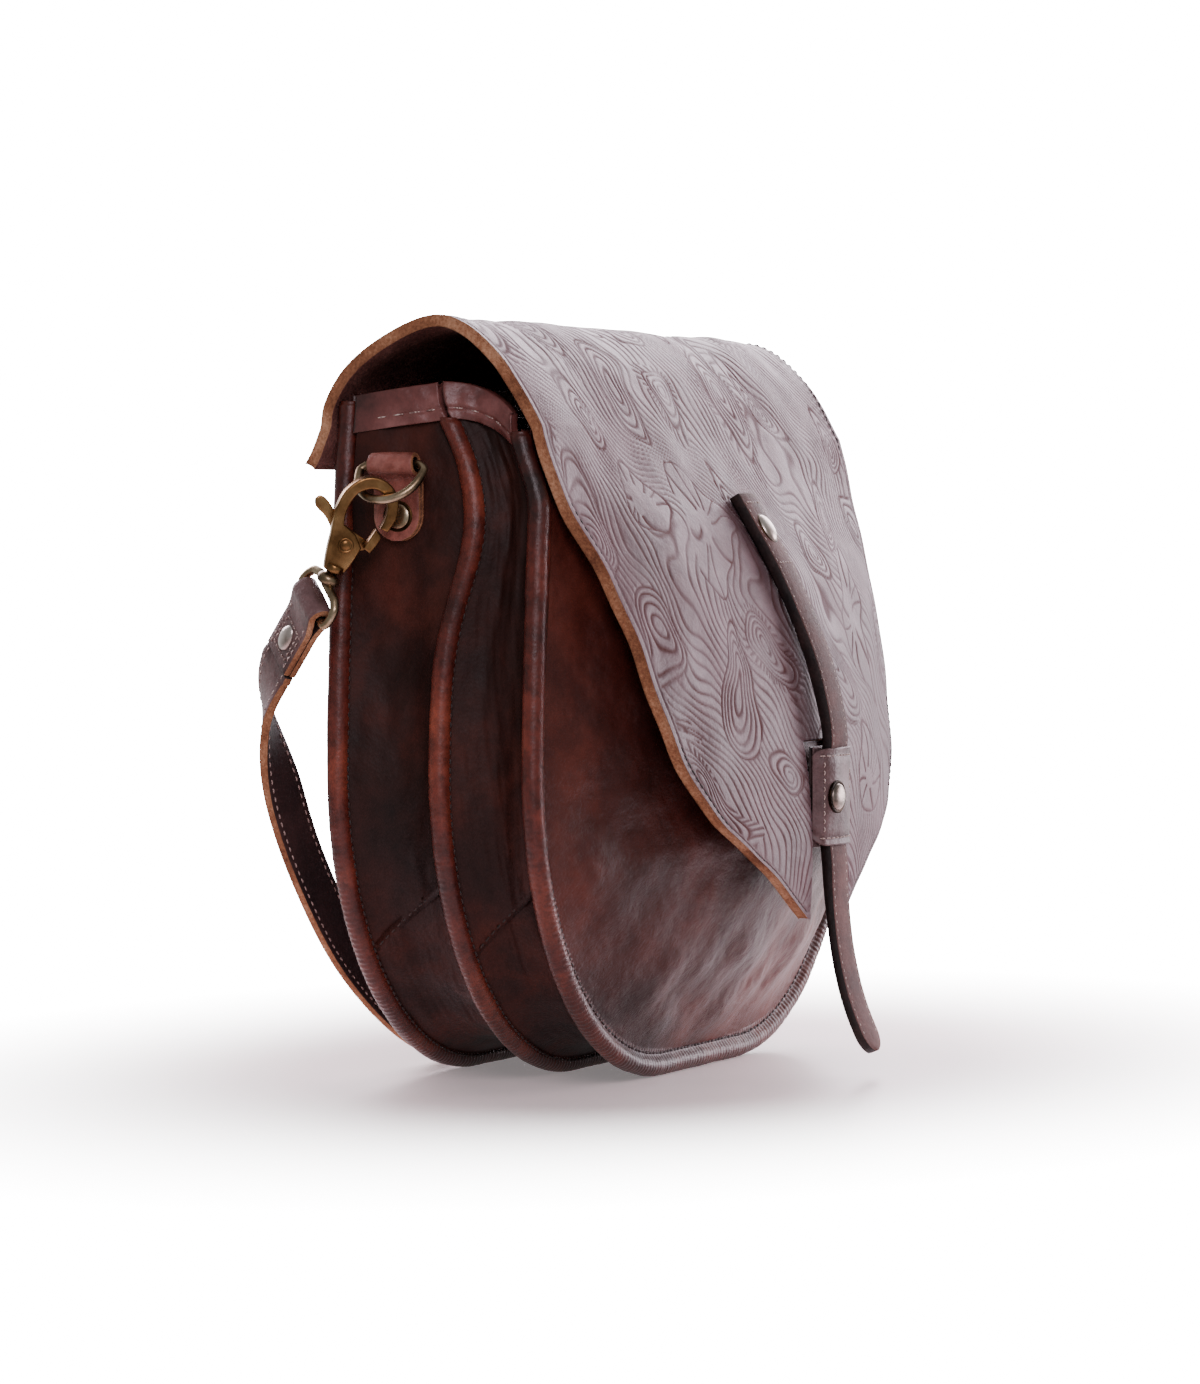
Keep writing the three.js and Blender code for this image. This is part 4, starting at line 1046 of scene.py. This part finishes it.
def clasp(side, mirror):
    hanger, hook, gate = f"{side}_hanger", f"{side}_hook", f"{side}_gate"

    def put(made, body, slot, node):
        settle(made, body, slot, *([node.format(side)] if node else []))

    # the leather tab: a strip rolled over the ring's bar and riveted to the gusset
    inner_leg = [(-4.6, -26), (-4.6, -14), (-4.4, -4)]
    outer_leg = [(-1.6, -4.6), (-2.4, -9), (-2.6, -26)]
    line = smooth_path(inner_leg + arc(3.3, 196, -42) + outer_leg, 180, 500)
    path = RING_HINGE + xyz(-line[:, 0], 0, line[:, 1])
    widths = rounded_end(180, run_along(path)[-1], 17.0, both=True)
    widths = widths * (1 - 0.06 * bump(np.linspace(0, 1, 180), 0.47, 0.08))
    rings, _, _ = strap_rings(path, (0, -1, 0), widths, 1.5, crown=0.2, dip=0.15)
    made = loft(f"ring_tab_{side}_roll", rings, [TAB, EDGE, LINING], kinds=STRAP_KINDS, mirror=mirror)
    put(made, "body", "hem_leather", "ring_tab_{}")
    turn = np.linspace(pi * 0.97, pi * 2.03, 30)
    tab_seam = RING_HINGE + xyz(3.35, 6.9 * np.cos(turn), -18.2 + 6.6 * np.sin(turn))
    tab_seam = np.vstack([tab_seam[0] + (0, 0, 7), tab_seam, tab_seam[-1] + (0, 0, 7)])

    # the strap's end: folded round the eye's bar, two layers sewn and riveted
    line = [(26.0, 1.3), (16, 1.35), (7.5, 1.5)] + arc(3.35, 64, 296) + [(7.5, -1.5), (16, -1.35), (26.6, -1.3)]
    path = EYE_BAR + smooth_path(line, 200, 600) @ [END_ALONG, END_FACING]
    rings, _, face = strap_rings(path, END_ACROSS, 17.0, 2.3, crown=0.2, dip=0.2)
    kinds = STRAP_KINDS if face[10] @ END_FACING > 0 else 2 - STRAP_KINDS
    made = loft(f"strap_end_{side}_fold", rings, [STRAP, EDGE, LINING], kinds=kinds, mirror=mirror)
    put(made, hanger, "strap_leather", "strap_end_{}")
    surface = EYE_BAR + END_FACING * 2.75
    square = spaced([(10.6, -5), (22.4, -5), (22.4, 5), (10.6, 5), (10.6, -5)], 60) @ [END_ALONG, END_ACROSS]
    edge = surface + END_ALONG * np.linspace(5.5, 25, 30)[:, None]
    for body, slot, piece, path, away, *sizes in (
        ("body", "hem_leather", "tab_stitches_{}", tab_seam, (-1.0, 0, 0), 2.6, 1.9, 0.28),
        (hanger, "strap_leather", "strap_end_{}_left_stitches", edge - END_ACROSS * 6.6, END_FACING, 2.9, 2.1, 0.3),
        (hanger, "strap_leather", "strap_end_{}_right_stitches", edge + END_ACROSS * 6.6, END_FACING, 2.9, 2.1, 0.3),
        (hanger, "strap_leather", "strap_end_{}_box_stitches", surface + square, END_FACING, 2.4, 1.8, 0.3),
    ):
        outwards = np.tile(away, (len(path), 1))
        sew(body, slot, piece.format(side), path, outwards, PALE_THREAD, *sizes, mirror=mirror)

    # the D-ring and the oblong eye, bent from wire, and the eye's neck
    turn = np.linspace(0.05, pi - 0.05, 60)
    drop = (15 * np.sin(turn) ** 0.8 + 0.5)[:, None] * unit((-0.62, 0, -0.785))
    ring = RING_HINGE + np.vstack([xyz(0, np.linspace(-9.6, 9.6, 30), 0), xyz(0, 12.2 * np.cos(turn), 0) + drop])
    put(closed_wire(f"d_ring_{side}_wire", ring, RING, mirror), hanger, "brass", "d_ring_{}")
    eye = np.array([(-11, 0), (0, -0.4)] + EYE_HALF + [(-a, b) for a, b in EYE_HALF[:0:-1]])
    eye = EYE_BAR + eye @ [END_ACROSS, EYE_UP]
    put(closed_wire(f"swivel_{side}_eye", eye, RING, mirror), hanger, "brass", None)
    foot = HOOK_PIN + HOOK_DOWN * 10.6
    neck = rings_along(spaced([foot + HOOK_DOWN * 3.2, EYE_BAR + EYE_UP * 8.6], 12), 2.0, 18, (1, 0, 0))
    put(loft(f"swivel_{side}_neck", neck, RING, mirror=mirror), hanger, "brass", None)

    # the snap hook and its gate, cut from plate
    for body, node, piece, shape, depth, bevel, lift in (
        (hook, "hook_{}", "hook_{}_body", HOOK_BODY, 4.6, 0.75, 0.0),
        (gate, "hook_gate_{}", "hook_gate_{}_finger", GATE_FINGER, 4.5, 0.6, 0.0),
        (gate, None, "hook_gate_{}_lever", GATE_LEVER, 1.7, 0.45, -3.5),
    ):
        made = plate(piece.format(side), shape, depth, bevel, HOOK_PIN, HOOK_AXES, BRASS, mirror, lift)
        put(made, body, "brass", node)

    # turned pieces: rivets, collar, pin, and the knob under the collar
    out, tab_rivet = (-1, 0, 0), RING_HINGE + (1.9, -0.5, -17.6)
    strap_rivet = surface + END_ALONG * 16.5 - END_FACING * 0.25
    pin_front, pin_back = HOOK_PIN + HOOK_FACING * 2.25, HOOK_PIN - HOOK_FACING * 4.2
    collar = HOOK_PIN + HOOK_DOWN * 7.6
    for body, slot, node, piece, *turned in (
        ("body", "nickel", "tab_rivet_{}", "tab_rivet_{}_cap", domed(4.3, 0.9), tab_rivet, out, RING),
        ("body", "nickel", None, "tab_rivet_{}_ring", RIVET_RING, tab_rivet, out, DARK_METAL),
        (hook, "brass", None, "hook_{}_collar", HOOK_COLLAR, collar, HOOK_DOWN, BRASS, 0.86, HOOK_FACING),
        (hook, "brass", "hook_pin_{}", "hook_pin_{}_head", PIN_HEAD, pin_front, HOOK_FACING, BRASS),
        (hook, "brass", None, "hook_pin_{}_tail", domed(2.6, 0.8), pin_back, -HOOK_FACING, BRASS),
        (hanger, "brass", "swivel_eye_{}", "swivel_{}_knob", KNOB, foot, HOOK_DOWN, RING),
        (hanger, "nickel", "strap_rivet_{}", "strap_rivet_{}_cap", domed(5.0, 1.9), strap_rivet, END_FACING, NICKEL,
         0.72, END_ALONG),
    ):
        put(lathe(piece.format(side), *turned, mirror=mirror), body, slot, node)


clasp("left", False)
clasp("right", True)

# ---- shoulder strap

UP = (0, 0, 1)
LAPS, LAP_PITCH, LAP_SHIFT, LAP_LEFT, LAP_RIGHT, FIRST_LAP_Y = 5, 8, 17, -10, 119, 50
strap_route = [
    (STRAP_START, END_ACROSS), (STRAP_START + END_ALONG * 5, END_ACROSS),
    ((-141.6, 59.5, 133), (0.64, 0.4, 0.6)), ((-127, 60, 101), (0.88, -0.17, 0.44)),
    ((-112, 59, 76), (0.84, -0.12, 0.5)), ((-90, 56, 48), (0.72, -0.08, 0.69)),
    ((-62, 52.5, 26), (0.45, -0.04, 0.89)), ((-34, 50.5, 13), (0.2, 0, 0.98)),
]
for lap in range(LAPS):  # the spare length lies on its edge in laps behind the bag
    left, y = LAP_LEFT + LAP_SHIFT * lap, FIRST_LAP_Y + LAP_PITCH * lap
    begin, end, turn = (left, LAP_RIGHT, LAP_RIGHT + 4.5) if lap % 2 == 0 else (LAP_RIGHT, left, left - 4)
    for share in (0, 0.33, 0.67, 1):
        strap_route.append(((begin + (end - begin) * share, y, 10), UP))
    if lap < LAPS - 1:
        strap_route.append(((turn, y + LAP_PITCH / 2, 10), UP))
mirrored = np.array((-1, 1, 1))
strap_route += [
    ((131, 79, 20), (-0.5, 0, 0.85)), ((138, 74, 44), (-0.9, 0.1, 0.4)), ((142, 67, 76), (-0.95, 0.15, 0.2)),
    ((145, 61, 108), (-0.85, 0.35, 0.3)), ((145, 60.5, 130), (-0.66, 0.45, 0.5)),
    ((STRAP_START + END_ALONG * 5) * mirrored, END_ACROSS * mirrored),
    (STRAP_START * mirrored, END_ACROSS * mirrored),
]
dense = np.linspace(0, 1, 1500)
strap_at, strap_across = (catmull(k, dense) for k in zip(*strap_route))
PARTING = 800  # the station where the two halves meet, among the laps
for side, part, hanger_at, body_at in (
    ("left", slice(0, PARTING + 1), STRAP_START, (-133, 60, 112)),
    ("right", slice(PARTING, 1500), STRAP_START * mirrored, (145, 61, 112)),
):
    path, across = strap_at[part], strap_across[part]
    rings, edge, face = strap_rings(path, across, STRAP_WIDTH, SHOULDER_THICKNESS, crown=0.1, dip=0.22)
    made = loft(f"shoulder_strap_{side}", rings, [LINING, EDGE, STRAP], kinds=STRAP_KINDS)
    start, end = tuple(metres(body_at)), tuple(metres(hanger_at))
    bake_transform(made)
    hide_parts("shoulder_strap")
    for label, across_by in (("a", -STITCH_LINE), ("b", STITCH_LINE)):
        for layer, sign in (("face", 1), ("back", -1)):
            line = path + edge * (across_by * STRAP_WIDTH / 2) + face * (sign * (SHOULDER_THICKNESS / 2 - 0.05))
            made = stitches(f"shoulder_{side}_{layer}_stitches_{label}", line, face * sign, PALE_THREAD, 3.4, 2.3, 0.3)
            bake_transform(made)
print(f"shoulder strap {run_along(strap_at)[-1]:.0f} mm, closure strap {closure_length:.0f} mm")

# ---- stage, light and camera

floor_tone = bpy.data.materials.new("pale_floor")
floor_tone.use_nodes = True
tree = floor_tone.node_tree
where = from_node(tree, "TexCoord", out="Object")
oval = from_node(tree, "Mapping", {"Vector": where, "Scale": (0.72, 1.0, 1.0)})
away = from_node(tree, "VectorMath", {0: oval}, "Value", operation="LENGTH")
feed(tree, tree.nodes["Principled BSDF"], {
    "Base Color": ramp(tree, noise(tree, where, 3.0, 2.0), [(0.3, (246, 222, 223)), (0.7, (252, 230, 232))]),
    "Roughness": 0.35, "Emission Color": (1, 0.93, 0.94, 1), "Emission Strength": 0.2,
    "Alpha": remap(tree, away, 1.0, 0.0, 0.1, 0.44, interpolation_type="SMOOTHSTEP"),
})
c, s = round_table(64)
points = [xyz(r * c, r * s - DEPTH_SHIFT, -0.05) for r in (0.0, 200, 500, 1000)]
floor = build("floor", points, bands(np.arange(256).reshape(4, 64)), floor_tone)

world = bpy.data.worlds.new("studio")
world.use_nodes = True
tree = world.node_tree
seen = from_node(tree, "LightPath", out="Is Camera Ray")
way = from_node(tree, "TexCoord", out="Generated")
beyond = from_node(tree, "VectorMath", {0: way, 1: (0.91, 0.41, 0.05)}, "Value", operation="DOT_PRODUCT")
share = from_node(tree, "Math", {0: remap(tree, beyond, 0.0, 1.0, -0.3), 1: 3.0}, operation="POWER")
glow = remap(tree, seen, remap(tree, share, 0.36, 1.7), 25.0)
feed(tree, tree.nodes["Background"], {"Color": (1.0, 1.0, 1.0, 1.0), "Strength": glow})
bpy.context.scene.world = world

COOL_PINK = (1.0, 0.88, 0.96)
for name, place, aim, size, power in (
    ("key_right", (1.35, 0.1, 0.85), 0.15, (1.0, 1.0), 34),
    ("key_low", (1.25, -0.95, 0.3), 0.1, (0.8, 0.6), 20),
    ("back_right", (0.8, 1.3, 1.1), 0.18, (1.2, 1.0), 42),
    ("fill_left", (-1.7, -1.0, 1.0), 0.12, (0.8, 0.9), 22),
):
    light = bpy.data.lights.new(name, "AREA")
    light.shape, light.energy, light.color = "RECTANGLE", power, COOL_PINK
    light.size, light.size_y = size
    made = add_object(name, light)
    made.location = place
    made.rotation_euler = (Vector((0, 0, aim)) - Vector(place)).to_track_quat("-Z", "Y").to_euler()

AZIMUTH, ELEVATION, DISTANCE = radians(-65.5), radians(1.8), 1.8
TARGET = Vector((-0.0020, 0.0109, 0.1356))
back = Vector((sin(AZIMUTH) * cos(ELEVATION), -cos(AZIMUTH) * cos(ELEVATION), sin(ELEVATION)))
view = bpy.data.cameras.new("view")
view.lens, view.sensor_width, view.sensor_fit = 127.9, 36.0, "AUTO"
view.clip_start, view.clip_end = 0.05, 100
camera = add_object("view", view)
camera.location = TARGET + back * DISTANCE
camera.rotation_mode = "QUATERNION"
camera.rotation_quaternion = back.to_track_quat("Z", "Y")
bpy.context.scene.camera = camera
